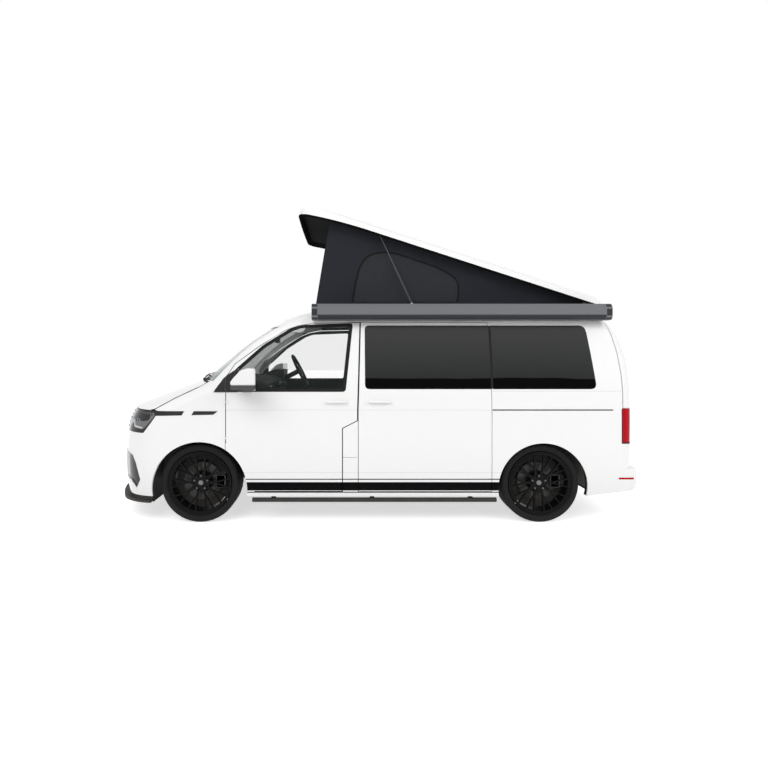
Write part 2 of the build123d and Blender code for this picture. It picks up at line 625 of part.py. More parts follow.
def caliper(x):
    """A left-hand brake caliper behind the disc, with the arm that carries it."""
    body = box((x - 208, x - 128), (DISC_Y[0] - 22, DISC_Y[1] + 20), (TYRE_R - 52, TYRE_R + 52))
    gap = bar_y(x, TYRE_R, DISC_R + 6, (DISC_Y[0] - 5, DISC_Y[1] + 5))
    arm = box((x - 150, x), (KNUCKLE_Y[1] - 20, KNUCKLE_Y[1]), (TYRE_R - 26, TYRE_R + 26))
    return fused(cut(body, gap), arm)


def spindle(x):
    return bar_y(x, TYRE_R, SPINDLE_R, (KNUCKLE_Y[1] - 1, SPINDLE_END))


knuckle = box((FRONT_AXLE - 38, FRONT_AXLE + 38), KNUCKLE_Y, (232, 472))
knuckle = fused(knuckle, spindle(FRONT_AXLE), caliper(FRONT_AXLE))
knuckle = cut(knuckle, bar_z(FRONT_AXLE, KINGPIN_Y, KINGPIN_R + FIT, (200, 500)))

REAR_DAMPER_TOP = REAR_ARCH_Z + math.sqrt(REAR_WELL_R**2 - 159**2) - 1
rear_knuckle = box((REAR_AXLE - 38, REAR_AXLE + 38), (640, KNUCKLE_Y[1]), (TYRE_R - 50, TYRE_R + 50))
rear_arm = side_prism([(-3060, 310), (-3060, 380), (-2560, 300), (-2560, 240), (-2640, 240)], (590, 650))
rear_damper = bar_z(REAR_AXLE + 120, 612, 20, (300, REAR_DAMPER_TOP))
rear_left = fused(rear_knuckle, spindle(REAR_AXLE), caliper(REAR_AXLE), rear_arm, rear_damper)
rear_beam = axle_box((-2640, -2560), (-650, 650), (240, RAIL_Z))
rear_axle = fused(rear_beam, *both(rear_left))


def wheel_disc(x):
    """A left-hand wheel: barrel, spokes in pairs, hub with its bore, and the brake disc."""
    y = WHEEL_Y
    inside = BARREL_R - BARREL_T
    barrel = ring_about_y(
        x,
        TYRE_R,
        [
            (y - 118, inside),
            (y - 118, RIM_R),
            (y - 104.3, RIM_R),
            (y - 104.3, BARREL_R),
            (y + 104.3, BARREL_R),
            (y + 104.3, RIM_R),
            (y + 119, RIM_R),
            (y + 119, RIM_R - 8),
            (y + 104, inside),
        ],
    )
    hub = bar_y(x, TYRE_R, 74, (y + 40, y + 88))
    hat = bar_y(x, TYRE_R, 92, (DISC_Y[0], y + 48))
    disc = bar_y(x, TYRE_R, DISC_R, DISC_Y)
    spokes = []
    for pair in range(SPOKE_PAIRS):
        for lean in (-1, 1):
            start = math.radians(360 / SPOKE_PAIRS * pair - 11.0 * lean)
            end = math.radians(360 / SPOKE_PAIRS * pair + 8.5 * lean)
            root = Vector(x + 66 * math.cos(start), 0, TYRE_R + 66 * math.sin(start))
            tip = Vector(x + (inside + 6) * math.cos(end), 0, TYRE_R + (inside + 6) * math.sin(end))
            along = (tip - root).normalized()
            across = Vector(-along.Z, 0, along.X)
            corners = [
                root + across * 7 + Vector(0, y + 62, 0),
                root - across * 7 + Vector(0, y + 62, 0),
                tip - across * 5.5 + Vector(0, y + 84, 0),
                tip + across * 5.5 + Vector(0, y + 84, 0),
            ]
            blade = Solid.extrude(Face(Wire.make_polygon(corners, close=True)), Vector(0, 22, 0))
            spokes.append(blade)
    wheel = fused(barrel, hub, hat, disc, *spokes)
    bore = bar_y(x, TYRE_R, SPINDLE_R + FIT, (y - 40, SPINDLE_END + 2))
    holes = [
        bar_y(
            x + LUG_PCD / 2 * math.cos(2 * math.pi * i / LUG_COUNT),
            TYRE_R + LUG_PCD / 2 * math.sin(2 * math.pi * i / LUG_COUNT),
            7,
            (y + 70, y + 100),
        )
        for i in range(LUG_COUNT)
    ]
    return cut(wheel, bore, *holes)


def tyre(x):
    y = WHEEL_Y
    half = TYRE_W / 2
    seat = BARREL_R + FIT
    flank = 104.0
    profile = [
        (y - flank, seat),
        (y - flank, RIM_R + 2),
        (y - half, 303),
        (y - half + 6, 328),
        (y - half + 32, TYRE_R),
        (y + half - 32, TYRE_R),
        (y + half - 6, 328),
        (y + half, 303),
        (y + flank, RIM_R + 2),
        (y + flank, seat),
    ]
    return ring_about_y(x, TYRE_R, profile)


front_wheel = wheel_disc(FRONT_AXLE)
front_tyre = tyre(FRONT_AXLE)
rear_wheel = wheel_disc(REAR_AXLE)
rear_tyre = tyre(REAR_AXLE)

# ---------------------------------------------------------------- engine, tank, exhaust, steps
engine = axle_box((110, 600), (-425, 425), (FLOOR_Z - FLOOR_T, 890))
tank = axle_box((-1560, -2300), (-130, 360), (262, FLOOR_Z - FLOOR_T))
pipe = bar_between((shift(90), -240, 352), (shift(-3330), -240, 352), 26)
silencer = axle_box((-3310, -3600), (-345, -90), (292, FLOOR_Z - FLOOR_T))
tail_pipe = bar_between((shift(-3585), -215, 318), (shift(-3880), -215, 172), 22)
exhaust = fused(pipe, silencer, tail_pipe)

step_bar = bar_between((shift(-2617), STEP_Y, STEP_Z), (shift(-460), STEP_Y, STEP_Z), STEP_R)
side_step = [step_bar]
for step_x in (-640, -1520, -2400):
    reach_x = (step_x - 20, step_x + 20)
    side_step.append(axle_box(reach_x, (RAIL_Y[0], 848), (RAIL_Z - 12, RAIL_Z)))
    side_step.append(axle_box(reach_x, (830, 848), (STEP_Z - 10, RAIL_Z)))
    side_step.append(axle_box(reach_x, (830, STEP_Y), (STEP_Z - 10, STEP_Z + 12)))
side_step = fused(*side_step)

# ---------------------------------------------------------------- awning
awning_profile = [
    (AWNING_Y[0], AWNING_Z[0] + 18),
    (AWNING_Y[0] + 14, AWNING_Z[0]),
    (AWNING_Y[1] - 22, AWNING_Z[0]),
    (AWNING_Y[1], AWNING_Z[0] + 26),
    (AWNING_Y[1], AWNING_Z[1] - 34),
    (AWNING_Y[1] - 26, AWNING_Z[1]),
    (AWNING_Y[0] + 16, AWNING_Z[1]),
    (AWNING_Y[0], AWNING_Z[1] - 16),
]
awning = end_prism(awning_profile, AWNING_X)
brackets = [
    cut(axle_box((x - 40, x + 40), (700, AWNING_Y[0] + 2), (1838, 1862)), outer) for x in (-1350, -2300, -3250)
]
awning = fused(awning, *brackets)

# ---------------------------------------------------------------- raised roof
pop_centre = (shift(POP_FRONT), 30000, 110, POP_HALF, shift(POP_REAR), 9000, 70)


def pop_outline(z, inset):
    nose, nose_r, corner, half, tail, tail_r, tail_corner = pop_centre
    return plan_outline(
        z, nose - inset, nose_r - inset, corner - inset / 2, half - inset, tail + inset, tail_r, tail_corner - inset / 8
    )


def droop_line(column, height):
    """Side-view points at a height above the lower edge, brought down towards the front."""
    return [(-4000, POP_BASE_Z + height)] + [(row[0], POP_BASE_Z + height - row[column]) for row in POP_DROOP]


pop_low = POP_BASE_Z - POP_DROOP[-1][1]
skirt = Solid.extrude(Face(pop_outline(pop_low, 0)), Vector(0, 0, POP_BASE_Z - pop_low + 1))
side = Solid.make_loft([pop_outline(POP_BASE_Z + z, inset) for z, inset in POP_LEVELS[:2]], ruled=True)
crown = Solid.make_loft([pop_outline(POP_BASE_Z + z, inset) for z, inset in POP_LEVELS[1:]], ruled=True)
below_lip = side_prism(droop_line(1, 0) + [(-600, 1700), (-4000, 1700)], ACROSS)
above_crown = side_prism(droop_line(2, POP_LEVELS[-1][0]) + [(-600, 2300), (-4000, 2300)], ACROSS)
pop_room = side_prism(droop_line(2, POP_LEVELS[-1][0] - POP_SKIN) + [(-600, 1700), (-4000, 1700)], ACROSS)
hollow = common(Solid.extrude(Face(pop_outline(pop_low - 1, POP_WALL)), Vector(0, 0, 400)), pop_room)
pop = cut(fused(skirt, side, crown), below_lip, above_crown, hollow)
pop_lug = box((hinge_x - 16, hinge_x + 16), (622, 650), (hinge_z - 12, POP_BASE_Z + POP_LEVELS[-1][0] - POP_SKIN + 10))
pop_lug = cut(pop_lug, bar_y(hinge_x, hinge_z, 8 + FIT, (500, 700)))
pop_turn = Axis((hinge_x, 0, hinge_z), (0, -1, 0))
pop = fused(pop, *both(pop_lug))
pop = joined([solid.rotate(pop_turn, POP_ANGLE) for solid in pieces(pop)])
head_pin = bar_y(head_x, head_z, 5, (STRUT_Y - 12, STRUT_Y + 46))
pop = fused(pop, *both(head_pin))

tilt = math.tan(math.radians(POP_ANGLE))


def tent_top(x):
    """Height of the moulding's underside plane at x, where the cloth is fixed."""
    return hinge_z + 20 + (x - POP_HINGE[0]) * tilt


def tent_side(inset):
    """The tent's side outline, drawn in by a distance at its ends."""
    front, rear = TENT_FOOT
    top = TENT_TOP_FRONT - inset
    return [
        (front - inset, ROOF_Z - 60),
        (top, tent_top(top)),
        (rear + inset, tent_top(rear + inset)),
        (rear + inset, ROOF_Z - 60),
    ]


tent_out = side_prism(tent_side(0), (-TENT_HALF, TENT_HALF))
tent_in = side_prism(tent_side(TENT_T), (-TENT_HALF + TENT_T, TENT_HALF - TENT_T))
tent = cut(tent_out, tent_in, outer)

# ---------------------------------------------------------------- gas struts
strut_dir = (Vector(head_x, 0, head_z) - Vector(foot_x, 0, foot_z)).normalized()
foot = Vector(foot_x, STRUT_Y, foot_z)
head = Vector(head_x, STRUT_Y, head_z)
strut_body = Solid.make_cylinder(STRUT_BODY_R, STRUT_BODY_L - 10, Plane(foot + strut_dir * 10, z_dir=strut_dir))
strut_eye = bar_y(foot_x, foot_z, 16, (STRUT_Y - 8, STRUT_Y + 8))
strut_body = fused(strut_body, strut_eye)
strut_body = cut(strut_body, bar_y(foot_x, foot_z, 5 + FIT, (STRUT_Y - 20, STRUT_Y + 20)))
strut_bore = Solid.make_cylinder(STRUT_ROD_R + FIT, STRUT_BODY_L, Plane(foot + strut_dir * 28, z_dir=strut_dir))
strut_body = cut(strut_body, strut_bore)
reach = (head - foot).length
rod_start = STRUT_BODY_L - 28
strut_rod = Solid.make_cylinder(STRUT_ROD_R, reach - rod_start - 9, Plane(foot + strut_dir * rod_start, z_dir=strut_dir))
rod_eye = bar_y(head_x, head_z, 12, (STRUT_Y - 7, STRUT_Y + 7))
strut_rod = cut(fused(strut_rod, rod_eye), bar_y(head_x, head_z, 5 + FIT, (STRUT_Y - 20, STRUT_Y + 20)))

# ---------------------------------------------------------------- mirrors
mirror_plan = [(-288, 1006), (-334, 1225), (-541, 1225), (-503, 1006)]
mirror_face = Face(Wire.make_polygon([Vector(shift(px), py, 1100) for px, py in mirror_plan], close=True))
mirror_space = Solid.extrude(mirror_face, Vector(0, 0, 400))
mirror_line = [(-310, 1228), (-356, 1290), (-414, 1350), (-476, 1370), (-560, 1364), (-560, 1228)]
mirror_head = common(mirror_space, side_prism(mirror_line, (1006, 1225)))
mirror_head = mirror_head.fillet(14, mirror_head.edges())
mirror_base = common(mirror_space, side_prism([(-310, 1226), (-335, 1190), (-520, 1180), (-560, 1226)], (1010, 1205)))
mirror_arm = axle_box((-395, -455), (880, 1040), (1186, 1212))
mirror_foot = axle_box((-385, -465), (925, 960), (1152, 1212))
mirror = cut(fused(mirror_head, mirror_base, mirror_arm, mirror_foot), outer)

# ---------------------------------------------------------------- cabin
dash = fused(side_prism(DASH, (-DASH_HALF, DASH_HALF)), side_prism(BINNACLE, (DRIVER_Y - 190, DRIVER_Y + 190)))
dash = common(room, dash)


def cab_seat(y):
    """A cab seat: plinth, cushion, back and head restraint."""
    plinth = axle_box((-930, -1300), (y - 190, y + 190), (FLOOR_Z, 700))
    cushion = axle_box((-870, -1360), (y - 250, y + 250), (700, 820))
    back = side_prism([(-1300, 790), (-1420, 1420), (-1500, 1420), (-1430, 790)], (y - 245, y + 245))
    rest = side_prism([(-1422, 1420), (-1435, 1600), (-1508, 1600), (-1497, 1420)], (y - 120, y + 120))
    return fused(plinth, cushion, back, rest)


seats = [cab_seat(-DRIVER_Y), cab_seat(DRIVER_Y)]
bench = fused(
    axle_box((-2680, -3180), (-460, 540), (FLOOR_Z, 720)),
    axle_box((-2640, -3200), (-470, 540), (720, 840)),
    side_prism([(-3120, 840), (-3230, 1420), (-3330, 1420), (-3250, 720), (-3180, 720)], (-470, 540)),
)
kitchen = fused(
    axle_box((-1530, -2560), (-868, -480), (FLOOR_Z, 1100)),
    axle_box((-1520, -2570), (-868, -465), (1100, 1130)),
)
wheel_c = Vector(shift(-770), DRIVER_Y, 1300)
wheel_n = Vector(-math.cos(math.radians(27)), 0, math.sin(math.radians(27)))
wheel_plane = Plane(wheel_c, z_dir=wheel_n)
spoke_corner = wheel_c - Vector(0, 175, 0) - wheel_n.cross(Vector(0, 1, 0)) * 20 - wheel_n * 14
steering = fused(
    Solid.make_torus(185, 15, wheel_plane),
    Solid.make_cylinder(52, 34, wheel_plane.offset(-28)),
    Solid.make_box(350, 40, 16, Plane(spoke_corner, x_dir=(0, 1, 0), z_dir=wheel_n)),
)
column = bar_between(
    tuple(wheel_c - wheel_n * 20),
    tuple(wheel_c + wheel_n * -330),
    28,
)
steering = cut(fused(steering, column), dash)

# ---------------------------------------------------------------- nodes
save("body_sides", left_side, right_side)
save("roof_panel", roof)
save("underbody", underbody)
save("front_wings", wings)
save("bonnet", bonnet)
save("scuttle", scuttle)
save("headlamps", headlamps)
save("front_grille", grille)
save("front_bumper", bumper)
save("bumper_grilles", bumper_grilles)
save("front_splitter", splitter)
save("windscreen", windscreen)
save("side_windows", slider_pane, left_quarter, right_mid, right_quarter)
save("sliding_door", slider)
save("cab_door_left", left_door)
save("cab_door_right", right_door)
save("cab_window_left", left_pane)
save("cab_window_right", right_pane)
save("mirror_left", mirror)
save("mirror_right", mirrored(mirror))
save("tailgate", tailgate)
save("tailgate_window", tail_pane)
save("tail_lamps", tail_lamps)
save("rear_bumper", rear_bumper)
save("side_steps", both(side_step))
save("front_suspension", suspension)
save("knuckle_left", knuckle)
save("knuckle_right", mirrored(knuckle))
save("rear_axle", rear_axle)
for place, wheel, rubber in (("front", front_wheel, front_tyre), ("rear", rear_wheel, rear_tyre)):
    save(f"wheel_{place}_left", wheel)
    save(f"wheel_{place}_right", mirrored(wheel))
    save(f"tyre_{place}_left", rubber)
    save(f"tyre_{place}_right", mirrored(rubber))
save("power_unit", engine)
save("fuel_tank", tank)
save("exhaust", exhaust)
save("awning", awning)
save("pop_roof", pop)
save("tent_canvas", tent)
save("strut_cylinders", both(strut_body))
save("strut_rods", both(strut_rod))
save("dashboard", dash)
save("cab_seats", seats)
save("bench_seat", bench)
save("kitchen_unit", kitchen)
save("steering_wheel", steering)
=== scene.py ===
# %% [markdown]
# # A camper van with its roof up
# The van's metal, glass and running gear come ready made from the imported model, which is loaded first. This script
# dresses it: paint with stripes, glass, tyres with tread, the cloth of the raised tent, lamps, trim and seats.
# Every piece is built in metres in the van's own frame: X to the nose, Y to the left, Z up, ground at zero.

import math

import bmesh
import bpy
from mathutils import Matrix, Vector


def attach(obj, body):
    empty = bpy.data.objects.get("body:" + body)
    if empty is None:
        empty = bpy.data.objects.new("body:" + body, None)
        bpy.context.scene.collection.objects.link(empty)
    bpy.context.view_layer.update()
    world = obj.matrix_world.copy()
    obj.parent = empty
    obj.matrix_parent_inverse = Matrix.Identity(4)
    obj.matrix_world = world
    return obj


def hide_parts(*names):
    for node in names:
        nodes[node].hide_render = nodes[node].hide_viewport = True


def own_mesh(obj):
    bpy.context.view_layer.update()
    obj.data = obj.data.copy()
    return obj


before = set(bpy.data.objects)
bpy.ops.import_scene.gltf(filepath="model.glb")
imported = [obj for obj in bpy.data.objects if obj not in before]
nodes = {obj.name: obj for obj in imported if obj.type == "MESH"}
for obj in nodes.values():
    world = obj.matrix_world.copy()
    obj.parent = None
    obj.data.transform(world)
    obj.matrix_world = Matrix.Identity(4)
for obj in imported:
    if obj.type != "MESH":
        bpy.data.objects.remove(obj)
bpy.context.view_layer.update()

# %% [markdown]
# ## The body's skin, as a function
# Trim, seals, handles and stickers lie on curved panels. A modelling program would shrink-wrap each of them. Here the
# panels were lofted through a few plan outlines, so the same numbers give the skin's half width at any place, and a
# flat outline can be laid on the van by moving each of its points out to that width.

# %% Skin of the body
FRONT_AXLE = 1.510
REAR_AXLE = -1.490
WHEEL_Y = 0.801
TYRE_R = 0.345
LEVELS = [  # height, nose, nose radius, corner radius, half width, tail, tail corner radius
    (0.235, 0.868, 1.6, 0.345, 0.928, -3.880, 0.115),
    (0.420, 0.893, 1.6, 0.360, 0.948, -3.886, 0.115),
    (0.700, 0.891, 1.6, 0.385, 0.952, -3.889, 0.110),
    (0.880, 0.852, 1.6, 0.395, 0.952, -3.890, 0.110),
    (1.000, 0.788, 1.6, 0.400, 0.950, -3.890, 0.110),
    (1.120, 0.455, 1.7, 0.360, 0.948, -3.888, 0.110),
    (1.240, 0.130, 1.9, 0.280, 0.940, -3.884, 0.110),
    (1.430, -0.095, 2.1, 0.190, 0.912, -3.862, 0.115),
    (1.600, -0.305, 2.1, 0.150, 0.880, -3.815, 0.120),
    (1.740, -0.520, 2.0, 0.140, 0.845, -3.745, 0.140),
    (1.830, -0.690, 2.0, 0.140, 0.808, -3.690, 0.150),
]
TAIL_R = 5.2
AXLES = (("front", FRONT_AXLE), ("rear", REAR_AXLE))
SIDES = (("left", 1), ("right", -1))


def level_at(z):
    """The outline's numbers at a height, from the cubic through the nearest rows of the same span."""
    spans = ((0, 4), (4, 6), (6, 10))
    low, high = next((s for s in spans if z <= LEVELS[s[1]][0]), spans[-1])
    rows = LEVELS[low : high + 1]
    near = sorted(rows, key=lambda row: abs(row[0] - z))[:4]
    out = []
    for column in range(1, 7):
        total = 0.0
        for i, a in enumerate(near):
            weight = 1.0
            for j, b in enumerate(near):
                if i != j:
                    weight *= (z - b[0]) / (a[0] - b[0])
            total += weight * a[column]
        out.append(total)
    return out


def nose_plan(z):
    """The nose at a height: its tip, its radius, the corner radius, the half width, how far forward the corners'
    centres are, and the angle at which nose and corner meet."""
    nose, nose_r, corner, half = level_at(z)[:4]
    centre_x = nose - nose_r + math.sqrt((nose_r - corner) ** 2 - (half - corner) ** 2)
    turn = math.atan2(half - corner, centre_x - (nose - nose_r))
    return nose, nose_r, corner, half, centre_x, turn


def skin_y(x, z):
    """Half width of the body at x (from the front axle) and z."""
    nose, nose_r, corner, half, centre_x, turn = nose_plan(z)
    if x <= centre_x:
        return half
    if x < centre_x + corner * math.cos(turn):
        return half - corner + math.sqrt(max(corner**2 - (x - centre_x) ** 2, 0))
    return math.sqrt(max(nose_r**2 - (x - nose + nose_r) ** 2, 0))


def skin_x(y, z):
    """How far the nose reaches ahead of the front axle at y and z."""
    nose, nose_r, corner, half, centre_x, turn = nose_plan(z)
    if abs(y) <= nose_r * math.sin(turn):
        return nose - nose_r + math.sqrt(nose_r**2 - y**2)
    return centre_x + math.sqrt(max(corner**2 - (abs(y) - half + corner) ** 2, 0))


def tail_x(y, z):
    """Where the back of the body is at y and z, from the front axle."""
    half, tail, corner = level_at(z)[3:]
    straight = tail + TAIL_R - math.sqrt(TAIL_R**2 - y**2)
    if abs(y) < half - corner:
        return straight
    inner = tail + TAIL_R - math.sqrt((TAIL_R - corner) ** 2 - (half - corner) ** 2)
    return max(straight, inner - math.sqrt(max(corner**2 - (abs(y) - half + corner) ** 2, 0)))


print("half width at the door handle:", round(skin_y(-1.2, 1.07), 4))

# %% [markdown]
# ## Helpers for pieces
# Each piece is a bmesh turned into an object at the origin. The helper hands it to a body of the frame, so that it
# moves with the right door, wheel or roof, and gives it its material.


# %% Piece helpers
def piece(name, bm, body, material, smooth=None, replaces=()):
    """Turns a bmesh into an object that rides on a body."""
    bmesh.ops.recalc_face_normals(bm, faces=bm.faces)
    mesh = bpy.data.meshes.new(name)
    bm.to_mesh(mesh)
    bm.free()
    obj = bpy.data.objects.new(name, mesh)
    bpy.context.scene.collection.objects.link(obj)
    mesh.materials.append(material)
    if smooth is not None:
        mesh.shade_smooth()
        mesh.set_sharp_from_angle(angle=math.radians(smooth))
    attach(obj, body)
    if replaces:
        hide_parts(*replaces)
    return obj


def joined(*parts):
    """One bmesh out of several."""
    total = bmesh.new()
    for part in parts:
        mesh = bpy.data.meshes.new("part")
        part.to_mesh(mesh)
        total.from_mesh(mesh)
        part.free()
        bpy.data.meshes.remove(mesh)
    return total


def bevelled(bm, edges, width, segments):
    """Rounds the edges given, and returns the mesh."""
    bmesh.ops.bevel(bm, geom=edges, offset=width, segments=segments, affect="EDGES", profile=0.5, material=-1)
    return bm


def extruded(bm):
    """Doubles every face and returns the corners of the new ones, still in place."""
    grown = bmesh.ops.extrude_face_region(bm, geom=bm.faces[:])
    return [v for v in grown["geom"] if isinstance(v, bmesh.types.BMVert)]


def prism(ring, along):
    """A flat ring of points, extruded by a vector."""
    bm = bmesh.new()
    bm.faces.new([bm.verts.new(point) for point in ring])
    bmesh.ops.translate(bm, vec=along, verts=extruded(bm))
    return bm


def fill_rows(bm, rows):
    """Faces between rows of corners, each row as long as the next."""
    for one, two in zip(rows, rows[1:]):
        for i in range(len(one) - 1):
            bm.faces.new((one[i], one[i + 1], two[i + 1], two[i]))


def cut_across(bm, axis, place):
    """Cuts the mesh along a plane square to one axis."""
    point, normal = [0, 0, 0], [0, 0, 0]
    point[axis] = place
    normal[axis] = 1
    bmesh.ops.bisect_plane(bm, geom=bm.verts[:] + bm.edges[:] + bm.faces[:], plane_co=point, plane_no=normal)


def block(x, y, z, bevel=0.0, segments=2):
    """A box from three (low, high) pairs, with rounded edges."""
    bm = bmesh.new()
    bmesh.ops.create_cube(bm, size=1)
    size = [pair[1] - pair[0] for pair in (x, y, z)]
    middle = [(pair[1] + pair[0]) / 2 for pair in (x, y, z)]
    bmesh.ops.scale(bm, vec=size, verts=bm.verts)
    bmesh.ops.translate(bm, vec=middle, verts=bm.verts)
    return bevelled(bm, bm.edges[:], bevel, segments) if bevel else bm


def disc_y(x, y, z, radius, depth, segments=32, bevel=0.0):
    """A round button whose axis runs across the van."""
    bm = bmesh.new()
    bmesh.ops.create_cone(
        bm, cap_ends=True, segments=segments, radius1=radius, radius2=radius, depth=depth,
        matrix=Matrix.Translation((x, y, z)) @ Matrix.Rotation(math.pi / 2, 4, "X"),
    )
    if bevel:
        rims = [e for e in bm.edges if len(e.link_faces) == 2 and e.calc_face_angle(0) > 1]
        bevelled(bm, rims, bevel, 3)
    return bm


def rod(points, radius, segments=12):
    """A round bar along a polyline, built as a curve and read back as a mesh."""
    curve = bpy.data.curves.new("rod", "CURVE")
    curve.dimensions = "3D"
    curve.bevel_depth = radius
    curve.bevel_resolution = max(segments // 4, 1)
    curve.use_fill_caps = True
    spline = curve.splines.new("POLY")
    spline.points.add(len(points) - 1)
    for point, place in zip(spline.points, points):
        point.co = (*place, 1)
    holder = bpy.data.objects.new("rod", curve)
    mesh = bpy.data.meshes.new_from_object(holder)
    bm = bmesh.new()
    bm.from_mesh(mesh)
    bpy.data.objects.remove(holder)
    bpy.data.curves.remove(curve)
    bpy.data.meshes.remove(mesh)
    return bm


def flipped(bm):
    """The same shape on the van's other side."""
    bmesh.ops.scale(bm, vec=(1, -1, 1), verts=bm.verts)
    bmesh.ops.reverse_faces(bm, faces=bm.faces)
    return bm


def for_side(side, bm):
    """A shape drawn for the left side, mirrored if it is wanted on the right."""
    return flipped(bm) if side == "right" else bm


def on_skin(where, a, b, proud):
    """A place on the left or right side (x, z), on the nose or on the tail (y, z), a little proud of the skin."""
    if where == "nose":
        return Vector((FRONT_AXLE + skin_x(a, b) + proud, a, b))
    if where == "tail":
        return Vector((FRONT_AXLE + tail_x(a, b) - proud, a, b))
    side = 1 if where == "left" else -1
    return Vector((FRONT_AXLE + a, side * (skin_y(a, b) + proud), b))


INWARD = {"left": (0, -1, 0), "right": (0, 1, 0), "nose": (-1, 0, 0), "tail": (1, 0, 0)}


def laid(outline, where="left", proud=0.0015, thick=0.003, step=0.05, hole=None):
    """A flat outline, with a hole or without, cut into a grid, laid on the skin and given a thickness."""
    bm = bmesh.new()
    corners = [bm.verts.new((a, 0, b)) for a, b in outline]
    if hole:
        inner = [bm.verts.new((a, 0, b)) for a, b in hole]
        loops = [bm.edges.new((ring[i], ring[i - 1])) for ring in (corners, inner) for i in range(len(ring))]
        bmesh.ops.triangle_fill(bm, use_beauty=True, use_dissolve=False, edges=loops, normal=(0, 1, 0))
    else:
        bm.faces.new(corners)
    for axis in (0, 2):
        low = min(v.co[axis] for v in bm.verts)
        high = max(v.co[axis] for v in bm.verts)
        cuts = int((high - low) / step)
        for i in range(1, cuts + 1):
            cut_across(bm, axis, low + (high - low) * i / (cuts + 1))
    for v in bm.verts:
        v.co = on_skin(where, v.co.x, v.co.z, proud)
    inward = Vector(INWARD[where])
    bm.normal_update()
    if sum(f.normal.dot(inward) * f.calc_area() for f in bm.faces) > 0:
        bmesh.ops.reverse_faces(bm, faces=bm.faces)
    bmesh.ops.translate(bm, vec=inward * thick, verts=extruded(bm))
    return bm


def rounded(points, radius, steps=5):
    """The outline with its corners rounded."""
    out = []
    for i, corner in enumerate(points):
        c = Vector(corner)
        before = Vector(points[i - 1]) - c
        after = Vector(points[(i + 1) % len(points)]) - c
        reach = min(radius, before.length * 0.45, after.length * 0.45)
        a = c + before.normalized() * reach
        b = c + after.normalized() * reach
        for k in range(steps + 1):
            t = k / steps
            out.append(tuple(a.lerp(c, t).lerp(c.lerp(b, t), t)))
    return out


def shrunk(points, by):
    """The outline moved in towards its own middle by a distance."""
    out = []
    for i, corner in enumerate(points):
        c = Vector(corner)
        before = Vector(points[i - 1]) - c
        after = Vector(points[(i + 1) % len(points)]) - c
        into = before.normalized() + after.normalized()
        half_angle = before.angle(after) / 2
        out.append(tuple(c + into.normalized() * by / max(math.sin(half_angle), 0.2)))
    return out


print("helpers ready")

# %% [markdown]
# ## Finishes
# A finish is one Principled BSDF with its base colour, roughness and bump driven by procedural patterns on Object
# coordinates, which stay with the piece when a door opens. Effects that several finishes share, such as fine grain
# and road dust, are node groups with their own inputs: built once, set differently in each material.


# %% Node helpers
def new_group(name, inputs, outputs):
    """An empty node group with its sockets, and its input and output nodes."""
    group = bpy.data.node_groups.new(name, "ShaderNodeTree")
    for label, kind, default in inputs:
        socket = group.interface.new_socket(label, in_out="INPUT", socket_type=kind)
        if default is not None:
            socket.default_value = default
    for label, kind in outputs:
        group.interface.new_socket(label, in_out="OUTPUT", socket_type=kind)
    start = group.nodes.new("NodeGroupInput")
    end = group.nodes.new("NodeGroupOutput")
    return group, start, end


def node(tree, kind, links=None, **values):
    """Adds a node, sets its fields and inputs, and links the sockets given."""
    made = tree.nodes.new(kind)
    for key, value in values.items():
        if hasattr(made, key):
            setattr(made, key, value)
        else:
            made.inputs[key.replace("_", " ")].default_value = value
    for place, source in (links or {}).items():
        tree.links.new(source, made.inputs[place])
    return made


def feed(tree, socket, value):
    """Links a node's output into a socket, or sets a plain value there."""
    if hasattr(value, "is_linked"):
        tree.links.new(value, socket)
    else:
        socket.default_value = value


def maths(tree, operation, a, b=None, clamp=False):
    """One operation on a value or two, each a number or a node's output."""
    made = tree.nodes.new("ShaderNodeMath")
    made.operation = operation
    made.use_clamp = clamp
    feed(tree, made.inputs[0], a)
    if b is not None:
        feed(tree, made.inputs[1], b)
    return made.outputs[0]


def total(tree, first, *others):
    """All the values added, in order."""
    for other in others:
        first = maths(tree, "ADD", first, other)
    return first


def product(tree, first, *others):
    """All the values multiplied, in order."""
    for other in others:
        first = maths(tree, "MULTIPLY", first, other)
    return first


def size_of(tree, value):
    """A value without its sign."""
    return maths(tree, "ABSOLUTE", value)


def beyond(tree, value, limit):
    """By how much a value is above a limit, and zero below it."""
    return maths(tree, "MAXIMUM", maths(tree, "SUBTRACT", value, limit), 0.0)


def mix_colour(tree, factor, a, b):
    """Colour a where the factor is 0 and colour b where it is 1."""
    made = tree.nodes.new("ShaderNodeMix")
    made.data_type = "RGBA"
    for place, value in ((0, factor), (6, a), (7, b)):
        feed(tree, made.inputs[place], value)
    return made.outputs[2]


def bump(tree, height, strength, distance, normal=None):
    """The surface normal tilted by a height, on top of another normal if one is given."""
    made = tree.nodes.new("ShaderNodeBump")
    made.inputs["Strength"].default_value = strength
    made.inputs["Distance"].default_value = distance
    tree.links.new(height, made.inputs["Height"])
    if normal is not None:
        tree.links.new(normal, made.inputs["Normal"])
    return made.outputs[0]


def colour(r, g=None, b=None):
    """A colour from grey or from three channels, with full alpha."""
    return (r, r if g is None else g, r if b is None else b, 1)


def finish_of(name, base, roughness, metallic=0.0, **sockets):
    """A new material with its Principled BSDF set, and its tree."""
    made = bpy.data.materials.new(name)
    made.use_nodes = True
    made.diffuse_color = base
    tree = made.node_tree
    shader = tree.nodes["Principled BSDF"]
    shader.inputs["Base Color"].default_value = base
    shader.inputs["Roughness"].default_value = roughness
    shader.inputs["Metallic"].default_value = metallic
    for key, value in sockets.items():
        shader.inputs[key.replace("_", " ")].default_value = value
    return made, tree, shader


def object_point(tree):
    """The place of a point in the van's frame."""
    return tree.nodes.new("ShaderNodeTexCoord").outputs["Object"]


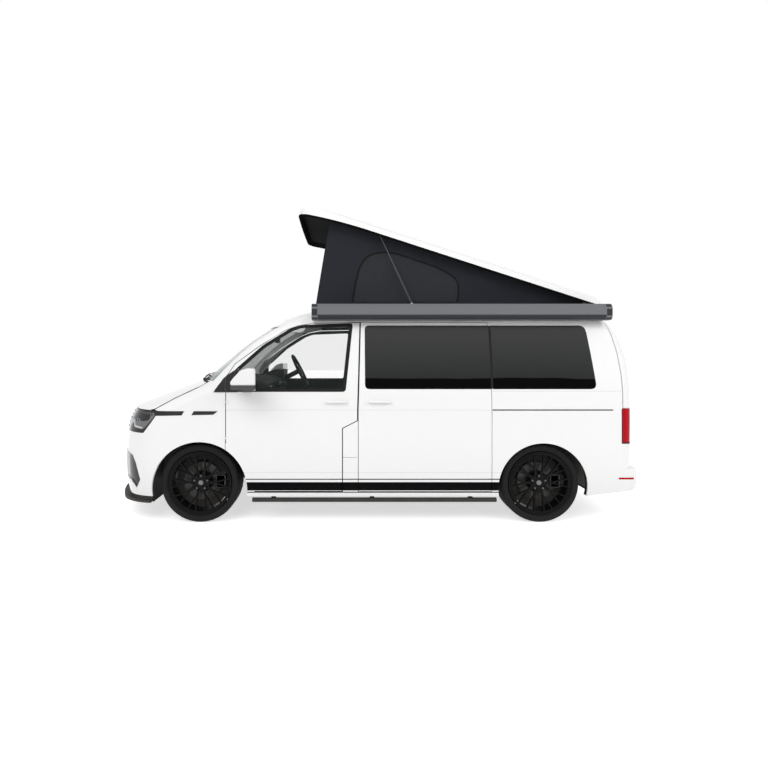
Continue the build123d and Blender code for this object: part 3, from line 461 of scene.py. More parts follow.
def separated(tree, point):
    """The x, y and z of a point."""
    return node(tree, "ShaderNodeSeparateXYZ", {"Vector": point}).outputs


# %% Shared effects: fine grain and road dust
grain_group, start, end = new_group(
    "Fine grain",
    [
        ("Point", "NodeSocketVector", None),
        ("Scale", "NodeSocketFloat", 400.0),
        ("Depth", "NodeSocketFloat", 0.2),
        ("Roughness", "NodeSocketFloat", 0.5),
        ("Spread", "NodeSocketFloat", 0.08),
    ],
    [("Normal", "NodeSocketVector"), ("Roughness", "NodeSocketFloat"), ("Fleck", "NodeSocketFloat")],
)
fleck = node(
    grain_group, "ShaderNodeTexNoise", {"Vector": start.outputs["Point"], "Scale": start.outputs["Scale"]}, Detail=4.0
)
cloud = node(grain_group, "ShaderNodeTexNoise", {"Vector": start.outputs["Point"]}, Scale=7.0, Detail=3.0)
raised = node(
    grain_group, "ShaderNodeBump", {"Height": fleck.outputs[0], "Strength": start.outputs["Depth"]}, Distance=0.0006
)
swing = maths(grain_group, "MULTIPLY", maths(grain_group, "SUBTRACT", cloud.outputs[0], 0.5), start.outputs["Spread"])
grain_group.links.new(raised.outputs[0], end.inputs["Normal"])
grain_group.links.new(maths(grain_group, "ADD", start.outputs["Roughness"], swing), end.inputs["Roughness"])
grain_group.links.new(fleck.outputs[0], end.inputs["Fleck"])

dust_group, start, end = new_group(
    "Road dust",
    [
        ("Point", "NodeSocketVector", None),
        ("Colour", "NodeSocketColor", colour(0.8)),
        ("Height", "NodeSocketFloat", 0.5),
        ("Amount", "NodeSocketFloat", 0.2),
    ],
    [("Colour", "NodeSocketColor"), ("Dust", "NodeSocketFloat")],
)
DUST = colour(0.33, 0.30, 0.26)
speck = node(dust_group, "ShaderNodeTexNoise", {"Vector": start.outputs["Point"]}, Scale=9.0, Detail=5.0)
rise = maths(dust_group, "DIVIDE", separated(dust_group, start.outputs["Point"])[2], start.outputs["Height"])
low = maths(dust_group, "SUBTRACT", 1.0, rise, clamp=True)
patchy = maths(dust_group, "MULTIPLY", low, speck.outputs[0])
dusty = maths(dust_group, "MULTIPLY", patchy, start.outputs["Amount"], clamp=True)
dust_group.links.new(mix_colour(dust_group, dusty, start.outputs["Colour"], DUST), end.inputs["Colour"])
dust_group.links.new(dusty, end.inputs["Dust"])


def grained(tree, shader, scale, depth, roughness, spread=0.08):
    """Puts the grain group into a material and returns its node."""
    made = tree.nodes.new("ShaderNodeGroup")
    made.node_tree = grain_group
    tree.links.new(object_point(tree), made.inputs["Point"])
    for key, value in (("Scale", scale), ("Depth", depth), ("Roughness", roughness), ("Spread", spread)):
        made.inputs[key].default_value = value
    tree.links.new(made.outputs["Normal"], shader.inputs["Normal"])
    tree.links.new(made.outputs["Roughness"], shader.inputs["Roughness"])
    return made


def dusted(tree, shader, source, height, amount):
    """Puts the dust group between a colour and the shader: dust up to a height, by an amount."""
    made = tree.nodes.new("ShaderNodeGroup")
    made.node_tree = dust_group
    tree.links.new(object_point(tree), made.inputs["Point"])
    feed(tree, made.inputs["Colour"], source)
    made.inputs["Height"].default_value = height
    made.inputs["Amount"].default_value = amount
    tree.links.new(made.outputs["Colour"], shader.inputs["Base Color"])


DARK_FINISH = 0.06  # paler than this, a finish keeps the usual reflection
DARK_SPECULAR = 0.12


def plain_finish(name, base, roughness, metallic=0.0, scale=500.0, depth=0.1, dust=None, **sockets):
    """A finish with the shared grain, its colour gently varied, and dust if asked."""
    if max(base[:3]) < DARK_FINISH and not metallic:
        sockets.setdefault("Specular IOR Level", DARK_SPECULAR)
    made, tree, shader = finish_of(name, base, roughness, metallic, **sockets)
    grain = grained(tree, shader, scale, depth, roughness)
    dark = tuple(c * 0.82 for c in base[:3]) + (1,)
    light = tuple(min(c * 1.12 + 0.004, 1) for c in base[:3]) + (1,)
    tone = mix_colour(tree, grain.outputs["Fleck"], dark, light)
    if dust:
        dusted(tree, shader, tone, *dust)
    else:
        tree.links.new(tone, shader.inputs["Base Color"])
    return made


print("groups:", [g.name for g in bpy.data.node_groups])

# %% [markdown]
# ## Car paint with stripes
# Real side stripes are cut vinyl on the paint. They cross the wings, both doors and the sill without a break, so they
# are painted in the material from the height above the ground, on side-facing skin between the wheel arches only.
# The pressed lines of the panels, under the windows and along the sill, are shallow grooves in the bump, and the grey
# tint along them is painted shade.


# %% White paint
SIDE_SKIN = 0.895  # half width beyond which a point is on the side panels
WELL_R = 0.462  # reach of a wheel well before and behind its middle
WELL_TOP = 0.78
STRIPES = ((0.287, 0.363), (0.384, 0.393), (0.267, 0.276))  # from low to high, in metres above the ground
SLIDER_REAR = FRONT_AXLE - 2.570
WAIST = 1.05  # above it the sides lean in
SILL = 0.42  # below it they turn under
SASH = 1.24  # above it the windscreen pillar leans back
LINED_HALF = 0.937  # half width of the trimmed inner faces, up to the waist
LINED_TOP = 1.80
LIGHT_PAINT = (colour(0.85, 0.853, 0.848), colour(0.87, 0.872, 0.868))
WELL_BLACK = colour(0.028)
STRIPE_BLACK = colour(0.004, 0.004, 0.005)


def band(tree, value, low, high, soft=0.0008):
    """1 between low and high, 0 outside, with a soft edge."""
    rise = maths(tree, "DIVIDE", maths(tree, "SUBTRACT", value, low - soft), 2 * soft, clamp=True)
    fall = maths(tree, "DIVIDE", maths(tree, "SUBTRACT", high + soft, value), 2 * soft, clamp=True)
    return maths(tree, "MULTIPLY", rise, fall)


def near_wheel(tree, x, y, z):
    """1 inside the four wheel wells, behind the painted lips of the arches."""
    front = maths(tree, "LESS_THAN", size_of(tree, maths(tree, "SUBTRACT", x, FRONT_AXLE)), WELL_R)
    rear = maths(tree, "LESS_THAN", size_of(tree, maths(tree, "SUBTRACT", x, REAR_AXLE - 0.02)), WELL_R)
    behind_lip = maths(tree, "LESS_THAN", size_of(tree, y), SIDE_SKIN)
    low = maths(tree, "LESS_THAN", z, WELL_TOP)
    return product(tree, behind_lip, low, total(tree, front, rear))


def cabin_side(tree, x, y, z):
    """1 on what lies deeper than 13 mm in doors and side walls, whose half width shrinks above the waist and below
    the doors. Ahead of a slanting line the pillars curve inward, and stay painted."""
    above = beyond(tree, z, WAIST)
    below = maths(tree, "MAXIMUM", maths(tree, "SUBTRACT", SILL, z), 0.0)
    half = maths(tree, "SUBTRACT", LINED_HALF, product(tree, above, above, 0.235))
    half = maths(tree, "SUBTRACT", half, product(tree, below, 0.11))
    inside = maths(tree, "LESS_THAN", size_of(tree, y), half)
    between = band(tree, x, FRONT_AXLE - 3.60, FRONT_AXLE - 0.245)
    high = beyond(tree, z, SASH)
    lean = total(tree, product(tree, high, 0.68), product(tree, high, high, 0.70))
    behind = maths(tree, "LESS_THAN", total(tree, x, lean), FRONT_AXLE - 0.27)
    behind = maths(tree, "MAXIMUM", behind, maths(tree, "LESS_THAN", z, SASH))
    return product(tree, inside, between, behind, maths(tree, "LESS_THAN", z, LINED_TOP))


def body_lines(tree, x, z, along):
    """1 on the pressed lines, for their groove and their painted shade: at the cab doors' waist, over the rear
    quarter's waist and along the sill.
    """
    front = band(tree, x, SLIDER_REAR, FRONT_AXLE - 0.229)
    rear = band(tree, x, -2.2, SLIDER_REAR)
    crease = product(tree, band(tree, z, 0.9935, 0.9965, 0.003), front)
    upper = product(tree, band(tree, z, 1.158, 1.161, 0.003), rear)
    lower = product(tree, band(tree, z, 0.446, 0.449, 0.003), along)
    return total(tree, crease, upper, lower)


def gap_shade_lines(tree, x, z):
    """1 on two short gaps that are only painted, as dark lines of painted shade: a seam ahead of the cab door and the
    fuel flap's lower edge.
    """
    seam = product(tree, band(tree, x, FRONT_AXLE - 0.232, FRONT_AXLE - 0.227), band(tree, z, 0.640, 0.716))
    flap = product(tree, band(tree, x, FRONT_AXLE - 1.384, FRONT_AXLE - 1.2527), band(tree, z, 0.5785, 0.5815))
    return maths(tree, "MAXIMUM", seam, flap)


def white_paint(name="white car paint", lined=False):
    """Gloss white with the stripes; where lined, the inner faces of doors and walls are trim instead."""
    made, tree, shader = finish_of(
        name, colour(0.86, 0.862, 0.858), 0.32, Coat_Weight=1.0, Coat_Roughness=0.04, Specular_IOR_Level=0.0
    )
    x, y, z = separated(tree, object_point(tree))
    wide = maths(tree, "GREATER_THAN", size_of(tree, y), SIDE_SKIN)
    along = band(tree, x, REAR_AXLE + 0.30, FRONT_AXLE - 0.30)
    stripes = product(tree, total(tree, *(band(tree, z, *heights) for heights in STRIPES)), along, wide)
    crease_shade_and_groove = product(tree, body_lines(tree, x, z, along), wide)
    gap_shade = product(tree, gap_shade_lines(tree, x, z), wide)
    hidden = near_wheel(tree, x, y, z)
    grain = grained(tree, shader, 900.0, 0.015, 0.3, 0.04)
    paint = mix_colour(tree, grain.outputs["Fleck"], *LIGHT_PAINT)
    # painted shade: the pressed lines get a grey tint, standing for the shade in their grooves
    paint = mix_colour(tree, product(tree, crease_shade_and_groove, 0.45), paint, colour(0.42))
    paint = mix_colour(tree, stripes, paint, STRIPE_BLACK)
    # painted shade: the two short gaps are dark lines in the paint, not cut into the shape
    paint = mix_colour(tree, gap_shade, paint, colour(0.10))
    paint = mix_colour(tree, hidden, paint, WELL_BLACK)
    matt = maths(tree, "MAXIMUM", hidden, product(tree, stripes, 0.98))
    if lined:
        trimmed = cabin_side(tree, x, y, z)
        fabric = mix_colour(tree, maths(tree, "GREATER_THAN", z, 1.30), WELL_BLACK, colour(0.13, 0.145, 0.14))
        paint = mix_colour(tree, trimmed, paint, fabric)
        matt = maths(tree, "MAXIMUM", matt, trimmed)
    tree.links.new(maths(tree, "SUBTRACT", 1.0, matt), shader.inputs["Coat Weight"])
    dusted(tree, shader, paint, 0.42, 0.04)
    groove = bump(tree, maths(tree, "SUBTRACT", 1.0, crease_shade_and_groove), 0.6, 0.003, grain.outputs["Normal"])
    tree.links.new(groove, shader.inputs["Normal"])
    return made


WHITE = white_paint()
LINED_WHITE = white_paint("white car paint, lined inside", True)


def sorted_by_height(name, split, below, above, roughness):
    """One moulding in two colours, parted at a height."""
    made, tree, shader = finish_of(name, above, roughness, Coat_Weight=0.8, Coat_Roughness=0.04)
    grain = grained(tree, shader, 900.0, 0.02, roughness, 0.05)
    upper = maths(tree, "GREATER_THAN", separated(tree, object_point(tree))[2], split)
    tone = mix_colour(tree, grain.outputs["Fleck"], above, tuple(c * 0.97 for c in above[:3]) + (1,))
    tree.links.new(mix_colour(tree, upper, below, tone), shader.inputs["Base Color"])
    return made


MIRROR_WHITE = sorted_by_height("mirror housing", 1.2275, colour(0.014), colour(0.82), 0.3)

# %% [markdown]
# ## The raised roof's paint
# The roof moulding is painted outside, trimmed inside with a dark liner and edged with a rubber seal. The patterns are
# worked out in the frame of the closed roof: the point is turned back by the opening angle about the rear hinge, and
# its height above the lip and depth inside the rim then tell paint, liner and seal apart.

# %% Raised roof finish
HINGE_BACK = 3.560  # from the front axle back to the roof's hinge
ROOF_HINGE = (FRONT_AXLE - HINGE_BACK, 1.952)
ROOF_TILT = math.radians(18)
ROOF_LIP_Z = 1.944
ROOF_HALF = 0.722
DROOP_FROM = 1.40  # ahead of this place behind the axle, the moulding curves down
LINER_FROM = 0.7495  # the liner's front end, behind the axle
ROOF_TAIL = 0.130  # how far the moulding reaches behind its hinge
ROOF_REAR_R = 9.0  # how gently its rear end is curved in plan


def roof_paint():
    """Gloss white outside, a dark liner inside and a black seal along the lip."""
    made, tree, shader = finish_of(
        "raised roof paint", colour(0.83), 0.32, Coat_Weight=1.0, Coat_Roughness=0.05, Specular_IOR_Level=0.0
    )
    x, y, z = separated(tree, object_point(tree))
    half = size_of(tree, y)
    forward = maths(tree, "SUBTRACT", x, ROOF_HINGE[0])
    up = maths(tree, "SUBTRACT", z, ROOF_HINGE[1])
    cos, sin = math.cos(ROOF_TILT), math.sin(ROOF_TILT)
    along = total(tree, product(tree, forward, cos), product(tree, up, sin))
    above = maths(tree, "SUBTRACT", product(tree, up, cos), product(tree, forward, sin))
    above = total(tree, above, ROOF_HINGE[1] - ROOF_LIP_Z)
    ahead = beyond(tree, along, HINGE_BACK - DROOP_FROM)
    droop = product(tree, ahead, ahead, 0.165)
    rear_curve = maths(tree, "DIVIDE", maths(tree, "POWER", half, 2.0), 2 * ROOF_REAR_R)
    from_rear = maths(tree, "SUBTRACT", total(tree, along, ROOF_TAIL), rear_curve)
    depth = maths(tree, "MINIMUM", maths(tree, "SUBTRACT", ROOF_HALF, half), from_rear)
    # the shell's inner face rises from the rim and is level further in; what is no higher than it gets the liner
    rising = product(tree, maths(tree, "SUBTRACT", depth, 0.035), 0.17)
    ceiling = product(tree, maths(tree, "GREATER_THAN", from_rear, 0.15), 0.0102)
    limit = total(tree, rising, 0.060, ceiling)
    limit = maths(tree, "SUBTRACT", maths(tree, "MINIMUM", limit, 0.087), droop)
    under = maths(tree, "LESS_THAN", above, limit)
    inside_rim = maths(tree, "GREATER_THAN", depth, 0.0347)
    liner = product(tree, under, inside_rim, maths(tree, "LESS_THAN", along, HINGE_BACK - LINER_FROM))
    seal = maths(tree, "LESS_THAN", total(tree, above, product(tree, droop, 0.63)), 0.013)
    grain = grained(tree, shader, 900.0, 0.015, 0.3, 0.04)
    paint = mix_colour(tree, grain.outputs["Fleck"], *LIGHT_PAINT)
    paint = mix_colour(tree, liner, paint, colour(0.035))
    tree.links.new(mix_colour(tree, seal, paint, colour(0.008)), shader.inputs["Base Color"])
    glossy = maths(tree, "SUBTRACT", 1.0, maths(tree, "MAXIMUM", liner, seal))
    tree.links.new(glossy, shader.inputs["Coat Weight"])
    return made


ROOF_WHITE = roof_paint()

# %% [markdown]
# ## The other finishes
# Glass is thin and tinted: the front panes let the cabin show, the rear ones are privacy glass and look black.
# Plastics differ by grain and gloss, metals by roughness, and everything near the road carries a little dust.

# %% Plastics, metals and rubber
BLACK = colour(0.012, 0.012, 0.013)
GLOSS_BLACK = plain_finish("gloss black trim", BLACK, 0.12, scale=900, depth=0.01, Coat_Weight=0.4, Coat_Roughness=0.03)
TRIM = plain_finish("grained black plastic", colour(0.022), 0.55, scale=1400, depth=0.35, dust=(0.6, 0.25))
RUBBER = plain_finish("seal rubber", colour(0.015), 0.7, scale=700, depth=0.2)
STEEL = plain_finish("brushed steel", colour(0.50, 0.51, 0.52), 0.34, 1.0, scale=1200, depth=0.12)
DARK_STEEL = plain_finish("dark chassis steel", colour(0.06), 0.6, 0.3, scale=300, depth=0.4, dust=(1.0, 0.5))
CAST = plain_finish("cast iron", colour(0.10), 0.62, 0.6, scale=260, depth=0.6, dust=(1.0, 0.4))
AWNING_GREY = plain_finish("grey awning metal", colour(0.150, 0.154, 0.163), 0.42, 0.3, scale=1500, depth=0.12)
CAP_GREY = plain_finish("awning end cap", colour(0.035, 0.036, 0.04), 0.5, scale=1400, depth=0.3)
STEP_GREY = plain_finish("step bar", colour(0.030), 0.38, scale=900, depth=0.2, dust=(0.4, 0.2))
GAS_ROD = plain_finish("gas spring rod", colour(0.10), 0.25, 0.6, scale=900, depth=0.05)
ENGINE = plain_finish("engine metal", colour(0.22, 0.225, 0.23), 0.5, 0.7, scale=120, depth=0.6)
LINING = plain_finish("grey cabin trim", colour(0.23, 0.235, 0.24), 0.8, scale=900, depth=0.5)
DASH = plain_finish("soft dashboard", colour(0.03), 0.6, scale=1600, depth=0.5)


# %% Glass
def glass(name, tint, alpha):
    """Thin tinted glass, faintly wavy."""
    made, tree, shader = finish_of(name, tint, 0.03, IOR=1.5, Coat_Weight=0.5, Coat_Roughness=0.02)
    noise = node(tree, "ShaderNodeTexNoise", {"Vector": object_point(tree)}, Scale=3.0, Detail=2.0)
    tree.links.new(bump(tree, noise.outputs[0], 0.03, 0.002), shader.inputs["Normal"])
    shader.inputs["Alpha"].default_value = alpha
    made.surface_render_method = "BLENDED"
    return made


REFLECTION_FOOT = 1.268  # below it the pane is painted near black, without reflection
SKY_FADE_FOOT = 1.28  # from here up a painted sky reflection makes the glass paler


def privacy_glass():
    """Bonded dark panes with a painted reflection: near black in a band along the waist, then paler upwards as painted
    sky.
    """
    made, tree, shader = finish_of("privacy glass", BLACK, 0.05, Coat_Roughness=0.02, Specular_IOR_Level=0.04)
    point = object_point(tree)
    noise = node(tree, "ShaderNodeTexNoise", {"Vector": point}, Scale=1.3, Detail=2.0)
    uneven = product(tree, maths(tree, "SUBTRACT", noise.outputs[0], 0.5), 0.05)
    height = total(tree, separated(tree, point)[2], uneven)
    # painted reflection: near black below the band, then paler with height like a reflected sky; the coat shows only
    # above the band
    reflecting = maths(tree, "DIVIDE", maths(tree, "SUBTRACT", height, REFLECTION_FOOT), 0.010, clamp=True)
    sky_fade = maths(tree, "DIVIDE", maths(tree, "SUBTRACT", height, SKY_FADE_FOOT), 0.45, clamp=True)
    tone = mix_colour(tree, sky_fade, colour(0.017, 0.018, 0.018), colour(0.043, 0.043, 0.044))
    tree.links.new(mix_colour(tree, reflecting, colour(0.001), tone), shader.inputs["Base Color"])
    tree.links.new(product(tree, reflecting, 0.25), shader.inputs["Coat Weight"])
    return made


CLEAR = glass("windscreen glass", colour(0.23, 0.34, 0.30), 0.46)
CAB_GLASS = glass("cab door glass", colour(0.10, 0.13, 0.125), 0.05)
PRIVACY = privacy_glass()
RED_LENS = plain_finish(
    "red lamp lens", colour(0.46, 0.001, 0.008), 0.14, scale=300, depth=0.05,
    Coat_Weight=0.05, Coat_Roughness=0.03, Specular_IOR_Level=0.04,
)
SILVER = plain_finish("lamp reflector", colour(0.40, 0.41, 0.43), 0.22, 0.8, scale=160, depth=0.05)
LAMP_GREY = plain_finish("shaded lamp bowl", colour(0.16, 0.162, 0.168), 0.22, 0.4, scale=160, depth=0.05)
GUIDE = plain_finish("light guide", colour(0.55, 0.56, 0.58), 0.3, scale=900, depth=0.02)
HUB_GREY = plain_finish("hub cap", colour(0.16), 0.35, 0.6, scale=600, depth=0.05)


# %% Wheel and tyre finishes
DISC_BACK = 0.79  # half width at the back of the brake disc
HAT_R = 0.095  # radius of the disc's raised middle


def wheel_black(axle_x, name):
    """Gloss black alloy; inside the spokes the brake disc is bare steel."""
    made, tree, shader = finish_of(
        name, BLACK, 0.36, 0.0, Coat_Weight=0.06, Coat_Roughness=0.20, Specular_IOR_Level=0.06
    )
    x, y, z = separated(tree, object_point(tree))
    across = maths(tree, "SUBTRACT", x, axle_x)
    up = maths(tree, "SUBTRACT", z, TYRE_R)
    squares = total(tree, maths(tree, "POWER", across, 2), maths(tree, "POWER", up, 2))
    radius = maths(tree, "SQRT", squares)
    side = size_of(tree, y)
    steel = product(tree, band(tree, side, DISC_BACK, 0.8185), band(tree, radius, HAT_R, 0.18))
    hat = product(tree, band(tree, side, DISC_BACK, 0.84), band(tree, radius, 0.0, HAT_R))
    bare = maths(tree, "ADD", steel, product(tree, hat, 0.4), clamp=True)
    grain = grained(tree, shader, 900, 0.03, 0.36, 0.05)
    alloy = mix_colour(tree, grain.outputs["Fleck"], colour(0.003), colour(0.006))
    tree.links.new(mix_colour(tree, bare, alloy, colour(0.060, 0.058, 0.056)), shader.inputs["Base Color"])
    tree.links.new(product(tree, bare, 0.8), shader.inputs["Metallic"])
    polish = product(tree, maths(tree, "SINE", product(tree, radius, 5200.0)), bare)
    tree.links.new(bump(tree, polish, 0.06, 0.0004, grain.outputs["Normal"]), shader.inputs["Normal"])
    return made


TYRE = plain_finish("tyre rubber", colour(0.010, 0.010, 0.011), 0.72, scale=420, depth=0.5, dust=(0.7, 0.04))
FRONT_ALLOY = wheel_black(FRONT_AXLE, "front alloy")
REAR_ALLOY = wheel_black(REAR_AXLE, "rear alloy")
print("materials:", len(bpy.data.materials))

# %% [markdown]
# ## Dress the frame's own nodes
# A node whose shape is right keeps it and only gets a finish.

# %% Give each node its finish
FINISHES = {
    WHITE: "roof_panel front_wings bonnet front_bumper tailgate rear_bumper".split(),
    LINED_WHITE: "body_sides sliding_door cab_door_left cab_door_right".split(),
    MIRROR_WHITE: ["mirror_left", "mirror_right"],
    ROOF_WHITE: ["pop_roof"],
    RED_LENS: ["tail_lamps"],
    GLOSS_BLACK: "front_grille bumper_grilles headlamps".split(),
    TRIM: "front_splitter fuel_tank".split(),
    CLEAR: ["windscreen"],
    CAB_GLASS: ["cab_window_left", "cab_window_right"],
    PRIVACY: ["side_windows", "tailgate_window"],
    DARK_STEEL: ["underbody", "strut_cylinders"],
    STEP_GREY: ["side_steps"],
    CAST: "front_suspension knuckle_left knuckle_right rear_axle".split(),
    STEEL: ["exhaust"],
    GAS_ROD: ["strut_rods"],
    ENGINE: ["power_unit"],
    AWNING_GREY: ["awning"],
    DASH: ["dashboard", "steering_wheel"],
    LINING: ["kitchen_unit"],
    RUBBER: ["scuttle"],
    FRONT_ALLOY: ["wheel_front_left", "wheel_front_right"],
    REAR_ALLOY: ["wheel_rear_left", "wheel_rear_right"],
}
for finish, names in FINISHES.items():
    for name in names:
        nodes[name].data.materials.clear()
        nodes[name].data.materials.append(finish)
print("dressed:", sum(len(names) for names in FINISHES.values()))

# %% [markdown]
# ## Tyres
# A road tyre is moulded: a soft carcass with grooves pressed into its tread. The section is drawn once as half width
# and radius, mirrored, and spun about the axle. Four grooves run right round, and the outer ribs get cross cuts by
# pushing every fourth face of them inwards.

# %% Tyres
TYRE_STEPS = 176
TYRE_SECTION = [  # half width, radius
    (0.098, 0.282), (0.106, 0.280), (0.119, 0.288), (0.1285, 0.301), (0.130, 0.310), (0.1285, 0.320),
    (0.1245, 0.329), (0.117, 0.3365), (0.108, 0.3415), (0.099, 0.3444), (0.078, 0.345),
]
GROOVES = (0.060, 0.022)
GROOVE_HALF = 0.0045
GROOVE_R = 0.3385
CUT_RIBS = ((0.0885, 0.0105), (0.1035, 0.0045))  # middle and half width of the ribs that get cross cuts


def tyre(name, axle_x, side, body, node_name):
    """A tyre with its tread, in place of one node; returns how many cross cuts it has."""
    section = list(TYRE_SECTION)
    for place in GROOVES:
        section += [(place + GROOVE_HALF + 0.002, 0.345), (place + GROOVE_HALF, GROOVE_R)]
        section += [(place - GROOVE_HALF, GROOVE_R), (place - GROOVE_HALF - 0.002, 0.345)]
    ring = [(-w, r) for w, r in section] + [(w, r) for w, r in reversed(section)]
    bm = bmesh.new()
    centre = Vector((axle_x, side * WHEEL_Y, TYRE_R))
    verts = [bm.verts.new(centre + Vector((0, w, r))) for w, r in ring]
    edges = [bm.edges.new(pair) for pair in zip(verts, verts[1:])]
    bmesh.ops.spin(
        bm, geom=verts + edges, cent=centre, axis=(0, 1, 0), angle=2 * math.pi, steps=TYRE_STEPS, use_merge=True
    )
    bmesh.ops.remove_doubles(bm, verts=bm.verts, dist=0.0001)
    bmesh.ops.recalc_face_normals(bm, faces=bm.faces)
    cuts = []
    for face in bm.faces:
        place = face.calc_center_median() - centre
        turn = math.atan2(place.z, place.x) / (2 * math.pi) * TYRE_STEPS
        on_rib = any(abs(abs(place.y) - middle) < half for middle, half in CUT_RIBS)
        if on_rib and int(round(turn - 0.5)) % 4 == 0:
            cuts.append(face)
    shrink = bmesh.ops.inset_region(bm, faces=cuts, thickness=0.0012, depth=-0.004, use_even_offset=True)
    piece(name, bm, body, TYRE, 40, [node_name])
    return len(shrink["faces"])


for place, axle_x in AXLES:
    for side, sign in SIDES:
        count = tyre(f"tread_{place}_{side}", axle_x, sign, f"{place}_{side}_wheel", f"tyre_{place}_{side}")
print("tyres with", count, "cuts each")

# %% [markdown]
# ## Hub caps, lug bolts and brake callipers
# A small grey cap closes the hub of each alloy and five bolts hold it. The callipers are castings that grip the disc
# behind the axle, and stay still while the wheel turns, so they ride on the steering knuckles or on the van. So do the
# stamped shields behind the discs, which are left open in front where the arms of the suspension reach the knuckle.

# %% Hubs and brakes
HUB_Y = 0.889
BOLT_CIRCLE = 0.060
BOLTS = 5
SHIELD_Y = 0.7880
SHIELD_THICK = 0.0025
GRIP_REAR = -0.205  # the calliper's back, from the axle
# one row for each band: low and high angle in degrees, inner and outer radius; the front shields leave room for the
# ball joint and the strut
SHIELDS = {
    "front": [(0, 360, 0.185, 0.243), (-66, 66, 0.066, 0.185), (114, 246, 0.066, 0.185), (246, 294, 0.166, 0.185)],
    "rear": [(0, 360, 0.066, 0.243)],
}


def brake_shield(bands):
    """A thin stamped ring behind a brake disc, drawn flat."""
    bm = bmesh.new()
    for low, high, inner, outer in bands:
        rows = []
        for a in range(low, high + 1, 6):
            turned = math.radians(a)
            rows.append([bm.verts.new((r * math.cos(turned), r * math.sin(turned), 0)) for r in (inner, outer)])
        fill_rows(bm, rows)
    bmesh.ops.translate(bm, vec=(0, 0, SHIELD_THICK), verts=extruded(bm))
    return bm


def wheel_bolts(axle_x, sign):
    """The five bolts of one wheel."""
    bolts = []
    for i in range(BOLTS):
        angle = math.radians(90 + 360 / BOLTS * i)
        x = axle_x + BOLT_CIRCLE * math.cos(angle)
        z = TYRE_R + BOLT_CIRCLE * math.sin(angle)
        bolts.append(disc_y(x, sign * (HUB_Y + 0.001), z, 0.0095, 0.012, 6, 0.001))
    return joined(*bolts)


def calliper(axle_x):
    """A left calliper: its inner half, the bridge over the disc and its outer half."""
    parts = []
    for front, y, half_height, bevel in (
        (-0.112, (0.770, 0.7945), 0.075, 0.010),
        (-0.174, (0.785, 0.832), 0.062, 0.008),
        (-0.118, (0.8195, 0.838), 0.060, 0.008),
    ):
        x = (axle_x + GRIP_REAR, axle_x + front)
        parts.append(block(x, y, (TYRE_R - half_height, TYRE_R + half_height), bevel, 3))
    return joined(*parts)


for place, axle_x in AXLES:
    for side, sign in SIDES:
        body = f"{place}_{side}_wheel"
        cap = disc_y(axle_x, sign * (HUB_Y + 0.002), TYRE_R, 0.022, 0.006, 40, 0.0015)
        piece(f"cap_{place}_{side}", cap, body, HUB_GREY, 40)
        piece(f"bolts_{place}_{side}", wheel_bolts(axle_x, sign), body, DARK_STEEL, 30)
        grip = for_side(side, calliper(axle_x))
        shield = brake_shield(SHIELDS[place])
        stand = Matrix.Translation((axle_x, sign * SHIELD_Y, TYRE_R)) @ Matrix.Rotation(math.pi / 2, 4, "X")
        bmesh.ops.transform(shield, matrix=stand, verts=shield.verts)
        holder = f"steer_knuckle_{side}" if place == "front" else "van"
        piece(f"brake_shield_{place}_{side}", shield, holder, TRIM, 30)
        piece(f"calliper_{place}_{side}", grip, holder, CAST, 35)
print("callipers on")

# %% [markdown]
# ## Side glass and seals
# On this kind of van the rear side glass is bonded over the steel and painted black at its edge, so each side reads
# as one dark strip. It is laid on the skin over the openings. The door glass drops into a rubber seal instead: a ring
# round the opening, which goes with its door.

# %% Side glass
STRIP_FRONT = -1.455
STRIP_SPLIT = -2.570
STRIP_TOP = 1.742
STRIP_BASE = 1.179
CAB_WINDOW = [
    (-0.330, 1.180), (-0.330, 1.335), (-0.568, 1.548), (-0.797, 1.690), (-0.888, 1.722), (-1.322, 1.738),
    (-1.262, 1.180),
]
JOINT_HALF = 0.010
PANE_JOINT = [
    (STRIP_SPLIT - JOINT_HALF, 1.182), (STRIP_SPLIT - JOINT_HALF, 1.740),
    (STRIP_SPLIT + JOINT_HALF, 1.740), (STRIP_SPLIT + JOINT_HALF, 1.182),
]
DOOR_SAIL = [(-0.232, 1.152), (-0.232, 1.296), (-0.318, 1.352), (-0.336, 1.345), (-0.336, 1.152)]
WING_SAIL = [(-0.128, 1.152), (-0.228, 1.152), (-0.228, 1.292), (-0.205, 1.272), (-0.140, 1.175)]


def strip_outline(front, rear_low, rear_high, front_r, rear_r):
    """Outline of one bonded pane, its front or rear corners rounded."""
    outline = [(front, STRIP_BASE), (front, STRIP_TOP), (rear_high, STRIP_TOP), (rear_low, STRIP_BASE)]
    return rounded(outline, front_r)[:12] + rounded(outline, rear_r)[12:]


for side, _ in SIDES:
    pane = laid(strip_outline(STRIP_FRONT, STRIP_SPLIT + 0.003, STRIP_SPLIT + 0.003, 0.042, 0.012), side)
    piece(f"middle_glass_{side}", pane, "van", PRIVACY, 30)
    piece(f"pane_joint_{side}", laid(PANE_JOINT, side, 0.0016, 0.002), "van", RUBBER, 30)
    pane = laid(strip_outline(STRIP_SPLIT - 0.003, -3.489, -3.425, 0.012, 0.055), side)
    piece(f"rear_glass_{side}", pane, "van", PRIVACY, 30)
    seal = laid(rounded(shrunk(CAB_WINDOW, -0.025), 0.030), side, hole=rounded(shrunk(CAB_WINDOW, 0.004), 0.022))
    piece(f"window_seal_{side}", seal, f"{side}_door", RUBBER, 30)
    for label, outline, body in (("door_sail", DOOR_SAIL, f"{side}_door"), ("wing_sail", WING_SAIL, "van")):
        sail = laid(outline, side, 0.006, 0.012, 0.02)
        piece(f"{label}_{side}", sail, body, GLOSS_BLACK, 30)
print("glass strips and seals laid")
